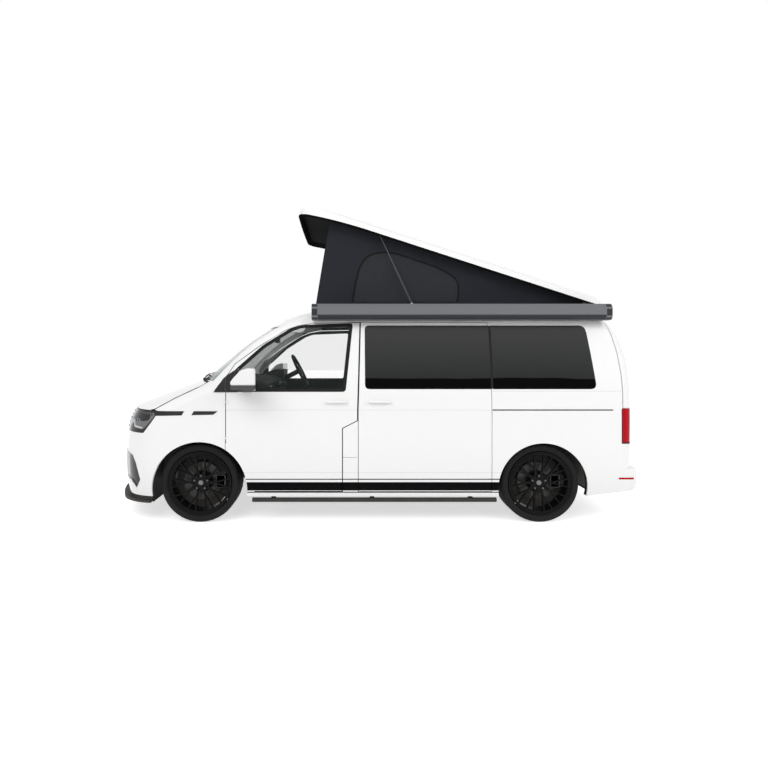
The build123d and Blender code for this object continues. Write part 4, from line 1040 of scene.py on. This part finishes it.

# %% [markdown]
# ## Handles, rail and side trim
# The door handles are painted pull bars over shallow cups. The sliding door runs in a rail let into the rear quarter,
# whose slot is a thin black strip laid on the skin as painted shade. A black strip with a slanted break runs along the
# top of each front wing. Low down, a filler closes the gap between cab door and wheel arch, and a rubber stop the gap
# behind the door.

# %% Side trim
HANDLE_Z = (1.058, 1.082)
HANDLE_FOOT_Z = (1.0605, 1.0795)
CUP_Z = (1.052, 1.092)
ARCH_MIDDLE_Z = 0.295
WING_STRIPS = {
    "front": [(0.397, 0.944), (0.397, 0.987), (0.130, 0.986), (0.152, 0.949)],
    "rear": [(0.045, 0.986), (0.067, 0.951), (-0.125, 0.955), (-0.165, 0.986)],
}
LAMP_RIM = [(-3.703, 1.004), (-3.703, 0.702), (-3.775, 0.702), (-3.775, 0.714), (-3.713, 0.714), (-3.713, 1.004)]
# painted shade: the rail's slot is drawn as a thin flat black strip
RAIL_SLOT_SHADE = [(-2.573, 0.991), (-2.573, 1.001), (-3.629, 1.001), (-3.629, 0.991)]


def behind_axle(low, high):
    """Two places given from the front axle, in the van's frame."""
    return (FRONT_AXLE + low, FRONT_AXLE + high)


def handle(low, high):
    """A left door handle between two places: a bar on two feet."""
    y = skin_y((low + high) / 2, 1.07)
    bar = block(behind_axle(low, high), (y + 0.014, y + 0.030), HANDLE_Z, 0.0075, 4)
    feet = []
    for ends in ((low, low + 0.022), (high - 0.05, high)):
        feet.append(block(behind_axle(*ends), (y - 0.002, y + 0.020), HANDLE_FOOT_Z, 0.005, 2))
    return joined(bar, *feet)


def handle_cup(low, high, side):
    """The shallow cup that a hand reaches into, under the bar."""
    rear, front = low + 0.02, high - 0.05
    outline = [(rear, CUP_Z[0]), (rear, CUP_Z[1]), (front, CUP_Z[1]), (front, CUP_Z[0])]
    return laid(rounded(outline, 0.018), side)


def arch_filler(side):
    """A thin crescent behind the front wheel arch."""
    points = []
    for radius, angles in ((0.4835, range(-5, 61, 5)), (0.4752, range(60, -6, -5))):
        for a in angles:
            turned = math.radians(a)
            points.append((-radius * math.cos(turned), ARCH_MIDDLE_Z + radius * math.sin(turned)))
    return laid(points, side, 0.0004, 0.006)


for side, _ in SIDES:
    bars = [("front_handle", -1.297, -1.103, f"{side}_door")]
    if side == "left":
        bars.append(("slider_handle", -1.684, -1.481, "van"))
    for label, low, high, body in bars:
        piece(f"{label}_cup_{side}", handle_cup(low, high, side), body, WHITE, 30)
        piece(f"{label}_{side}", for_side(side, handle(low, high)), body, WHITE, 35)
    piece(f"arch_filler_{side}", arch_filler(side), f"{side}_door", WHITE, 30)
    for label, outline in WING_STRIPS.items():
        strip = laid(outline, side, 0.002, 0.004)
        piece(f"wing_strip_{label}_{side}", strip, "van", GLOSS_BLACK, 30)
    reflector = block(behind_axle(-3.813, -3.681), (0.938, 0.9458), (0.386, 0.404), 0.002)
    piece(f"reflector_{side}", for_side(side, reflector), "van", RED_LENS, 30)
    piece(f"tail_lamp_rim_{side}", laid(LAMP_RIM, side, 0.001, 0.002), "van", TRIM, 30)
    stop = block(behind_axle(-1.300, -1.215), (0.846, 0.856), (0.255, 0.425), 0.003)
    piece(f"door_gap_stop_{side}", for_side(side, stop), "van", RUBBER, 30)
# the rail's slot, as a black strip of painted shade laid on the skin
piece("slider_rail_slot_shade", laid(RAIL_SLOT_SHADE, "left", 0.0008, 0.003), "van", TRIM, 30)
print("side trim on")

# %% [markdown]
# ## Lamps
# Each headlamp is a clear moulding over a deep, partly chromed bowl with two round projectors. From the side only the
# outer end of the bowl shows. The lamp housing of the frame is the dark bowl, and the bright parts are laid on it.

# %% Headlamps
BOWL = [(0.372, 0.968), (0.620, 0.968), (0.640, 0.900), (0.600, 0.830), (0.505, 0.820), (0.440, 0.885)]
DARK_BOWL = [(0.430, 0.950), (0.560, 0.950), (0.560, 0.915), (0.520, 0.890), (0.450, 0.905)]
GUIDE_LINE = [(0.632, 0.905), (0.614, 0.905), (0.596, 0.851), (0.512, 0.841), (0.512, 0.829), (0.607, 0.837)]
for side, sign in SIDES:
    bowl = laid(rounded(BOWL, 0.02), side, 0.001, 0.003, 0.03)
    piece(f"lamp_bowl_{side}", bowl, "van", LAMP_GREY, 40)
    mask = laid(rounded(DARK_BOWL, 0.012), side, 0.0025, 0.003, 0.03)
    piece(f"lamp_mask_{side}", mask, "van", GLOSS_BLACK, 40)
    guide = laid(GUIDE_LINE, side, 0.0025, 0.003, 0.02)
    piece(f"lamp_guide_{side}", guide, "van", GUIDE, 40)
    for i, y in enumerate((0.700, 0.790)):
        eye = on_skin("nose", sign * y, 0.885, 0.001)
        lens = disc_y(eye.x, eye.y, eye.z, 0.034, 0.010, 32, 0.003)
        turn_out = Matrix.Rotation(-sign * math.radians(60 - 18 * i), 3, "Z")
        bmesh.ops.rotate(lens, cent=eye, matrix=turn_out, verts=lens.verts)
        piece(f"projector_{i}_{side}", lens, "van", SILVER, 40)
print("headlamps lit")

# %% [markdown]
# ## The raised tent
# The bellows of a pop-up roof are sewn from coated cotton: two long sides, a tall front and a low rear, stapled to the
# roof opening below and to the raised shell above. Slack cloth bags out between its seams and creases towards the
# corners, so each panel is a fine grid pushed out by a few smooth waves that die away at its edges. An arched zip
# frames the side window.

# %% Canvas finish
def canvas_cloth():
    """Coated cotton, near black, with a weave in the bump."""
    made, tree, shader = finish_of("tent canvas", colour(0.010, 0.012, 0.017), 0.92, Sheen_Weight=0.06)
    point = object_point(tree)
    weave = node(tree, "ShaderNodeTexWave", {"Vector": point}, bands_direction="Z", Scale=420.0, Distortion=0.4)
    cross = node(tree, "ShaderNodeTexWave", {"Vector": point}, bands_direction="X", Scale=420.0, Distortion=0.4)
    threads = maths(tree, "ADD", weave.outputs[0], cross.outputs[0])
    cloud = node(tree, "ShaderNodeTexNoise", {"Vector": point}, Scale=3.5, Detail=5.0)
    tone = mix_colour(tree, cloud.outputs[0], colour(0.008, 0.010, 0.014), colour(0.013, 0.015, 0.021))
    tree.links.new(tone, shader.inputs["Base Color"])
    tree.links.new(bump(tree, threads, 0.25, 0.0006), shader.inputs["Normal"])
    return made


CANVAS = canvas_cloth()

# %% Tent
TENT_Y = 0.600
TENT_FOOT_Z = 1.931
TENT_FRONT_FOOT = -1.000
TENT_REAR = -3.520
TENT_FRONT_TOP = -1.138
TENT_SLOPE = math.tan(ROOF_TILT)
TENT_REAR_TOP = 1.972  # the shell's underside over its hinge
WINDOW = [
    (-1.352, 1.977), (-1.378, 2.140), (-1.428, 2.322), (-1.527, 2.421), (-1.709, 2.440),
    (-1.939, 2.373), (-2.172, 2.289), (-2.321, 2.190), (-2.347, 2.074), (-2.337, 1.977),
]


def tent_top(x):
    """Height of the raised shell's underside."""
    return TENT_REAR_TOP + (x + HINGE_BACK) * TENT_SLOPE


def tent_front(v):
    """Where the side's slanted front edge is at a share of its height."""
    return TENT_FRONT_FOOT + (TENT_FRONT_TOP - TENT_FRONT_FOOT) * v


def slack(u, v):
    """How free the cloth is to move: 0 along its edges and 1 in the middle."""
    return (4 * u * (1 - u)) ** 0.5 * (4 * v * (1 - v)) ** 0.5


def side_cloth(u, v):
    """A point of the left side: u runs from the front to the back, v from the foot to the top."""
    front = tent_front(v)
    x = front + (TENT_REAR - front) * u
    z = TENT_FOOT_Z + (tent_top(x) - TENT_FOOT_Z) * v
    edge = slack(u, v)
    tall = (tent_top(x) - TENT_FOOT_Z) / 0.83
    sag = 0.010 * edge * tall
    crease = 0.0045 * math.sin(7.0 * (x + 1.6 * z)) + 0.003 * math.sin(15.0 * (x - 0.9 * z) + 1.0)
    pleat = 0.004 * math.sin(46.0 * x + 3.0 * v) * (1 - v) ** 3
    return Vector((FRONT_AXLE + x, TENT_Y - 0.006 + sag + (crease + pleat) * edge, z))


def end_cloth(u, v, foot_x, top_x, bulge):
    """A point of the front or rear end: u runs across, v from the foot to the top."""
    y = TENT_Y * (2 * u - 1) * 0.9955
    x = foot_x + (top_x - foot_x) * v
    top = tent_top(top_x)
    z = TENT_FOOT_Z + (top - TENT_FOOT_Z) * v
    edge = slack(u, v)
    waves = 0.004 * math.sin(9.0 * y + 2.0 * z) + 0.003 * math.sin(21.0 * y - 6.0 * z)
    return Vector((FRONT_AXLE + x + bulge * (edge * 0.010 + waves * edge), y, z))


def cloth_y(x, z):
    """Half width of the tent's side at x and z."""
    v = min(max((z - TENT_FOOT_Z) / (tent_top(x) - TENT_FOOT_Z), 0), 1)
    front = tent_front(v)
    return side_cloth(min(max((x - front) / (TENT_REAR - front), 0), 1), v).y


def cloth(point_at, across, up):
    """A grid of cloth from a function of two shares."""
    bm = bmesh.new()
    fill_rows(bm, [[bm.verts.new(point_at(i / across, j / up)) for i in range(across + 1)] for j in range(up + 1)])
    return bm


def ribbon(line, half, lift):
    """A flat strip of tape along points of the left side, given in x and z."""
    bm = bmesh.new()
    rows = []
    for i, (x, z) in enumerate(line):
        before = Vector(line[max(i - 1, 0)])
        after = Vector(line[min(i + 1, len(line) - 1)])
        across = Vector((-(after - before).y, (after - before).x)).normalized() * half
        places = [(x + across.x * shift, z + across.y * shift) for shift in (-1, 1)]
        rows.append([bm.verts.new((FRONT_AXLE + px, cloth_y(px, pz) + lift, pz)) for px, pz in places])
    fill_rows(bm, rows)
    return bm


def fold_with_roof(obj):
    """Gives a piece its own copy of its mesh."""
    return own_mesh(obj)


def spline(points, steps=7):
    """A smooth open line through the points."""
    ends = [points[0], *points, points[-1]]
    out = []
    for a, b, c, d in zip(ends, ends[1:], ends[2:], ends[3:]):
        for k in range(steps):
            t = k / steps
            out.append(tuple(
                0.5 * (2 * q + (r - p) * t + (2 * p - 5 * q + 4 * r - s) * t**2 + (3 * q - p - 3 * r + s) * t**3)
                for p, q, r, s in zip(a, b, c, d)
            ))
    return out + [points[-1]]


ZIP_TAPE = plain_finish("zip tape", colour(0.006), 0.6, scale=1500, depth=0.6)
WINDOW_CLOTH = plain_finish("tent window cloth", colour(0.026, 0.028, 0.033), 0.75, scale=1800, depth=0.5)
ZIP_LINE = spline(WINDOW)
FLAP_CUTS = ((0, -2.35, -1.35, 60), (2, 1.97, 2.45, 30))  # axis, low and high end, how many


def window_cloth(line, lift):
    """The flap inside the zip: the zip's outline filled with a grid and laid on the side cloth, creased on its own."""
    bm = bmesh.new()
    bm.faces.new([bm.verts.new((x, 0, z)) for x, z in line])
    for axis, low, high, count in FLAP_CUTS:
        for i in range(count):
            cut_across(bm, axis, low + (high - low) * (i + 0.5) / count)
    for v in bm.verts:
        x, z = v.co.x, v.co.z
        crumple = 0.0011 * math.sin(24 * x + 9 * z) + 0.0009 * math.sin(61 * x - 30 * z)
        v.co = (FRONT_AXLE + x, cloth_y(x, z) + lift + crumple, z)
    return bm


for side, _ in SIDES:
    panel = for_side(side, cloth(side_cloth, 150, 44))
    tape = for_side(side, ribbon(ZIP_LINE, 0.008, 0.0040))
    flap = for_side(side, window_cloth(shrunk(ZIP_LINE, 0.004), 0.0022))
    tape = piece(f"tent_zip_{side}", tape, "van", ZIP_TAPE, 60)
    flap = piece(f"tent_window_{side}", flap, "van", WINDOW_CLOTH, 60)
    panel = piece(f"tent_{side}", panel, "van", CANVAS, 60, ["tent_canvas"])
    height = tent_top(TENT_FRONT_TOP) - TENT_FOOT_Z
    for soft in (panel, tape, flap):
        fold_with_roof(soft)
for label, foot_x, top_x, bulge, up in (
    ("front", TENT_FRONT_FOOT, TENT_FRONT_TOP, 1, 44),
    ("rear", TENT_REAR, TENT_REAR, -1, 6),
):
    height = math.hypot(tent_top(top_x) - TENT_FOOT_Z, top_x - foot_x)
    panel = cloth(lambda u, v: end_cloth(u, v, foot_x, top_x, bulge), 70, up)
    panel = piece(f"tent_{label}", panel, "van", CANVAS, 60, ["tent_canvas"])
    fold_with_roof(panel)
print("tent height at the front:", round(tent_top(TENT_FRONT_TOP) - TENT_FOOT_Z, 3))

# %% [markdown]
# ## Awning ends
# The rolled awning lives in an extruded case whose two ends are closed by moulded caps, a little darker and fatter
# than the case. Its lower edge carries the lead rail that is pulled out with the cloth.

# %% Awning ends
AWNING = [
    (0.842, 1.805), (0.856, 1.787), (0.936, 1.787), (0.957, 1.813),
    (0.957, 1.895), (0.932, 1.929), (0.858, 1.929), (0.842, 1.913),
]
LEAD_RAIL = [
    (0.860, 1.785), (0.934, 1.785), (0.9585, 1.812), (0.9585, 1.832),
    (0.952, 1.832), (0.952, 1.815), (0.932, 1.792), (0.860, 1.792),
]
CAP_LONG = 0.052


def prism_x(outline, low, high, bevel):
    """An outline in y and z, extruded along the van, the edges of its two ends rounded."""
    bm = prism([(FRONT_AXLE + low, y, z) for y, z in outline], (high - low, 0, 0))
    rims = [e for e in bm.edges if abs(e.verts[0].co.x - e.verts[1].co.x) < 1e-6]
    return bevelled(bm, rims, bevel, 2)


case = shrunk(rounded(AWNING, 0.014, 4), -0.0012)
for label, low, high in (("front", -0.987 - CAP_LONG, -0.9855), ("rear", -3.6225, -3.621 + CAP_LONG)):
    piece(f"awning_cap_{label}", prism_x(case, low, high, 0.003), "van", CAP_GREY, 35)
piece("awning_lead_rail", prism_x(LEAD_RAIL, -3.569, -1.039, 0.0015), "van", CAP_GREY, 35)
print("awning closed")

# %% [markdown]
# ## Padded seats
# A seat is foam cut to shape under a sewn cover. The foam springs back as a crowned pad with soft edges, so each pad
# starts as a finely divided box. Its top is pushed out in the middle and its underside a quarter as far, and a bevel
# rounds the edges where the seams are.

# %% Seats
FABRIC = plain_finish("seat fabric", colour(0.030, 0.031, 0.034), 0.9, scale=700, depth=0.8)


# outlines from the side, in x from the front axle and z; a pad's soft face runs from its fourth corner to its third
CUSHION = [(-1.355, 0.705), (-0.875, 0.705), (-0.875, 0.800), (-1.355, 0.775)]
SEAT_BACK = [(-1.428, 0.795), (-1.498, 1.415), (-1.425, 1.415), (-1.308, 0.795)]
HEAD_REST = [(-1.496, 1.430), (-1.506, 1.598), (-1.438, 1.598), (-1.426, 1.430)]
PLINTH = [(-1.300, 0.432), (-0.930, 0.432), (-0.930, 0.700), (-1.300, 0.700)]
BENCH_CUSHION = [(-3.195, 0.722), (-2.645, 0.722), (-2.645, 0.825), (-3.195, 0.810)]
BENCH_BACK = [(-3.235, 0.800), (-3.325, 1.415), (-3.235, 1.415), (-3.125, 0.845)]
BENCH_BASE = [(-3.180, 0.432), (-2.680, 0.432), (-2.680, 0.720), (-3.180, 0.720)]
SEAT_MIDDLE = 0.400
BENCH_Y = (-0.462, 0.532)


def pad(name, corners, y, puff):
    """A cushion from the four (x, z) corners of its side and its width, puffed by a distance."""
    bm = bmesh.new()
    bmesh.ops.create_cube(bm, size=1)
    bmesh.ops.subdivide_edges(bm, edges=bm.edges[:], cuts=7, use_grid_fill=True)
    low, high = y
    a, b, c, d = (Vector((px, 0, pz)) for px, pz in corners)
    centre = (a + b + c + d) / 4
    up = (d - a).normalized()
    for v in bm.verts:
        s, w, t = (v.co[i] + 0.5 for i in range(3))
        squeeze = 1 - 0.06 * (1 - min(1, 5 * min(w, 1 - w))) ** 2
        mid = a.lerp(b, s).lerp(d.lerp(c, s), t)
        place = centre + (mid - centre) * squeeze
        swell = math.sin(math.pi * min(max(s, 0), 1)) * math.sin(math.pi * min(max(w, 0), 1))
        outward = 1 if t > 0.99 else (-0.25 if t < 0.01 else 0)
        place = place + up * (puff * swell * outward)
        v.co = Vector((FRONT_AXLE + place.x, low + (high - low) * w, place.z))
    bevelled(bm, [e for e in bm.edges if e.calc_face_angle(0) > 0.9], 0.022, 3)
    obj = piece(name, bm, "van", FABRIC, 60)


def seat_block(name, corners, y, finish):
    """A hard prism from an outline in x and z."""
    bm = prism([(FRONT_AXLE + px, y[0], pz) for px, pz in corners], (0, y[1] - y[0], 0))
    return piece(name, bevelled(bm, bm.edges[:], 0.012, 2), "van", finish, 35)


for side, sign in SIDES:
    middle = sign * SEAT_MIDDLE
    for label, corners, half, puff in (
        ("seat_cushion", CUSHION, 0.248, 0.018),
        ("seat_back", SEAT_BACK, 0.240, 0.012),
        ("head_rest", HEAD_REST, 0.118, 0.006),
    ):
        pad(f"{label}_{side}", corners, (middle - half, middle + half), puff)
    plinth = seat_block(f"seat_plinth_{side}", PLINTH, (middle - 0.190, middle + 0.190), DASH)
    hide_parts("cab_seats")
pad("bench_cushion", BENCH_CUSHION, BENCH_Y, 0.012)
pad("bench_back", BENCH_BACK, BENCH_Y, 0.010)
base = seat_block("bench_base", BENCH_BASE, (-0.460, 0.540), LINING)
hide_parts("bench_seat")
print("seats padded")

# %% [markdown]
# ## Nose and tail details
# Number plates are left blank. The grille and the intake below it get their slats, and the tailgate its handle and
# high brake lamp. Each is a flat outline with rounded corners, laid on the curved nose or tail.

# %% Nose and tail
PLATE = plain_finish("blank plate", colour(0.72), 0.4, scale=600, depth=0.05)
SLATS = [  # name, how many, half width, foot of the lowest, pitch, height, proud of the skin, thickness, finish
    ("grille_slat", 5, 0.585, 0.806, 0.036, 0.012, 0.005, 0.012, GLOSS_BLACK),
    ("intake_slat", 4, 0.455, 0.322, 0.038, 0.011, -0.004, 0.010, TRIM),
]


def across(where, half, low, high, proud, thick, finish, name, body, slot="black_plastic", r=0.01):
    """A bar or plate on the nose or tail, as far to the left as to the right."""
    outline = rounded([(-half, low), (half, low), (half, high), (-half, high)], r, 3)
    piece(name, laid(outline, where, proud, thick), body, finish, 30)


for label, count, half, foot, pitch, height, proud, thick, finish in SLATS:
    for i in range(count):
        low = foot + pitch * i
        across("nose", half, low, low + height, proud, thick, finish, f"{label}_{i}", "van", r=0.004)
across("nose", 0.260, 0.535, 0.648, 0.010, 0.010, PLATE, "front_plate", "van", "lamp_glass", 0.008)
across("tail", 0.260, 0.805, 0.918, 0.006, 0.006, PLATE, "rear_plate", "rear_door", "lamp_glass", 0.008)
across("tail", 0.150, 0.985, 1.015, 0.014, 0.014, GLOSS_BLACK, "tailgate_handle", "rear_door")
across("tail", 0.150, 1.715, 1.732, 0.004, 0.004, RED_LENS, "high_brake_lamp", "rear_door", "red_lamp", 0.006)
print("plates, slats and handle on")

# %% [markdown]
# ## Wipers, cowl, aerial and wheel arch skirts
# Two wipers park at the foot of the windscreen, each an arm on a round boss and a blade that follows the glass. A cowl
# strip runs behind the bonnet, and the roof carries the foot of the aerial. Skirts hide the sheet metal inside the
# arches, ahead of the front wheels and behind the rear ones.

# %% Wipers and skirts
WIPERS = ((0.600, 0.060), (0.020, -0.520))  # where each one is held and where its blade ends, in y
BLADE_STEPS = 10
SKIRT_Y = (0.560, 0.893)
SKIRT_THICK = 0.003

cowl = laid(rounded([(-0.700, 1.237), (0.700, 1.237), (0.690, 1.262), (-0.690, 1.262)], 0.008, 3), "nose", 0.008, 0.012)
piece("windscreen_cowl", cowl, "van", TRIM, 30)
for i, (pivot, tip) in enumerate(WIPERS):
    hub = on_skin("nose", pivot, 1.250, 0.022)
    elbow = on_skin("nose", pivot - 0.10, 1.268, 0.034)
    middle = on_skin("nose", (pivot + tip) / 2, 1.292, 0.026)
    arm = rod([hub, elbow, middle], 0.0085, 8)
    boss = disc_y(hub.x, hub.y, hub.z, 0.016, 0.024, 20, 0.004)
    places = []
    for k in range(BLADE_STEPS + 1):
        y = pivot - 0.03 - k * (pivot - 0.03 - tip) / BLADE_STEPS
        places.append(on_skin("nose", y, 1.284 + 0.0012 * k, 0.012))
    blade = rod(places, 0.0075, 8)
    piece(f"wiper_{i}", joined(arm, boss, blade), "van", GLOSS_BLACK, 40)
aerial = block(behind_axle(-0.705, -0.655), (-0.016, 0.016), (1.822, 1.846), 0.007, 3)
piece("aerial_base", aerial, "van", TRIM, 40)


def skirt(middle_x, radius, low, high):
    """A black sheet round a left wheel arch, between two angles in degrees: 0 is forward and 90 is up."""
    bm = bmesh.new()
    rows = []
    for a in range(low, high + 1, 3):
        x = middle_x + radius * math.cos(math.radians(a))
        z = TYRE_R + radius * math.sin(math.radians(a))
        rows.append([bm.verts.new((x, y, z)) for y in SKIRT_Y])
    fill_rows(bm, rows)
    for v in extruded(bm):
        v.co += (Vector((middle_x, v.co.y, TYRE_R)) - v.co).normalized() * SKIRT_THICK
    return bm


for side, _ in SIDES:
    front = for_side(side, skirt(FRONT_AXLE, 0.4555, -22, 22))
    rear = for_side(side, skirt(REAR_AXLE - 0.019, 0.452, 158, 192))
    piece(f"arch_skirts_{side}", joined(front, rear), "van", TRIM, 40)
print("wipers parked, skirts in")

# %% [markdown]
# ## Inside the cab
# The frame brings the dashboard and the steering wheel. Here they get the mirror under the windscreen header, four air
# vents and the gear lever: small plastic mouldings, made from bevelled blocks and round rods.

# %% Cab details
header = on_skin("nose", 0.0, 1.690, -0.030)
mirror_glass = block((header.x - 0.115, header.x - 0.085), (-0.115, 0.115), (1.600, 1.665), 0.012, 3)
stalk = rod([header, (header.x - 0.06, 0, 1.665), (header.x - 0.095, 0, 1.645)], 0.008, 8)
piece("cabin_mirror", joined(mirror_glass, stalk), "van", DASH, 40)
vents = []
for y in (-0.760, -0.080, 0.080, 0.760):
    vents.append(block(behind_axle(-0.606, -0.578), (y - 0.055, y + 0.055), (1.150, 1.198), 0.006, 2))
piece("dash_vents", joined(*vents), "van", GLOSS_BLACK, 30)
lever = joined(
    rod([(FRONT_AXLE - 0.520, 0.0, 0.985), (FRONT_AXLE - 0.600, 0.0, 1.075)], 0.009, 8),
    block(behind_axle(-0.632, -0.592), (-0.022, 0.022), (1.060, 1.112), 0.012, 3),
)
piece("gear_lever", lever, "van", DASH, 40)
print("cab fitted")

# %% [markdown]
# ## Camera, floor and light
# The camera stands about four and a half metres from the van's left side and one and a half metres up, a little ahead
# of its middle. A small lens shift frames the van without turning the camera, so upright edges stay upright.

# %% Camera
camera_data = bpy.data.cameras.new("camera")
camera_data.sensor_width = 36.0
camera_data.lens = 24.50
camera_data.shift_x = 0.0508
camera_data.shift_y = -0.0404
camera = bpy.data.objects.new("camera", camera_data)
camera.location = (0.231, 5.530, 1.496)
camera.rotation_euler = (math.pi / 2, 0, math.pi)
bpy.context.scene.collection.objects.link(camera)
bpy.context.scene.camera = camera


# %% Floor and sky
def background_rays(tree):
    """1 for what the camera sees, directly or in gloss and glass, and 0 for the light that falls on the van."""
    paths = tree.nodes.new("ShaderNodeLightPath").outputs
    seen = maths(tree, "ADD", paths["Is Camera Ray"], paths["Is Glossy Ray"], clamp=True)
    return maths(tree, "ADD", seen, paths["Is Transmission Ray"], clamp=True)


floor_finish, floor_tree, floor_shader = finish_of("studio floor", colour(0.86), 0.9)
paper = node(floor_tree, "ShaderNodeTexNoise", {"Vector": object_point(floor_tree)}, Scale=1.5, Detail=2.0)
floor_tree.links.new(
    mix_colour(floor_tree, paper.outputs[0], colour(0.85), colour(0.87)), floor_shader.inputs["Base Color"]
)
glow = maths(floor_tree, "MULTIPLY", background_rays(floor_tree), 0.62)
floor_tree.links.new(glow, floor_shader.inputs["Emission Strength"])
floor_shader.inputs["Emission Color"].default_value = colour(1)
bm = bmesh.new()
bmesh.ops.create_circle(bm, cap_ends=True, segments=64, radius=40)
mesh = bpy.data.meshes.new("studio_floor")
bm.to_mesh(mesh)
bm.free()
mesh.materials.append(floor_finish)
floor = bpy.data.objects.new("studio_floor", mesh)
bpy.context.scene.collection.objects.link(floor)

world = bpy.data.worlds.new("studio")
bpy.context.scene.world = world
world.use_nodes = True
tree = world.node_tree
tree.nodes.clear()
seen = background_rays(tree)
light = node(tree, "ShaderNodeBackground", Color=colour(1), Strength=0.60)
shown = node(tree, "ShaderNodeBackground", Color=colour(1), Strength=1.0)
both = tree.nodes.new("ShaderNodeMixShader")
tree.links.new(seen, both.inputs[0])
tree.links.new(light.outputs[0], both.inputs[1])
tree.links.new(shown.outputs[0], both.inputs[2])
out = tree.nodes.new("ShaderNodeOutputWorld")
tree.links.new(both.outputs[0], out.inputs[0])


# %% Lamps
LAMP_AIM = (0, 0, 1.0)


def softbox(name, place, size, power):
    """A large lamp aimed at the van's middle, hidden from reflections."""
    data = bpy.data.lights.new(name, "AREA")
    data.shape = "RECTANGLE"
    data.size, data.size_y = size
    data.energy = power
    lamp = bpy.data.objects.new(name, data)
    lamp.location = place
    lamp.rotation_euler = (Vector(LAMP_AIM) - Vector(place)).to_track_quat("-Z", "Y").to_euler()
    lamp.visible_glossy = False
    bpy.context.scene.collection.objects.link(lamp)


softbox("key", (3.5, 6.5, 6.0), (6, 4), 262)
softbox("fill", (-5.0, 5.0, 4.0), (5, 4), 130)
softbox("back", (0, -7.0, 5.5), (8, 4), 165)
bpy.context.scene.view_settings.view_transform = "Standard"
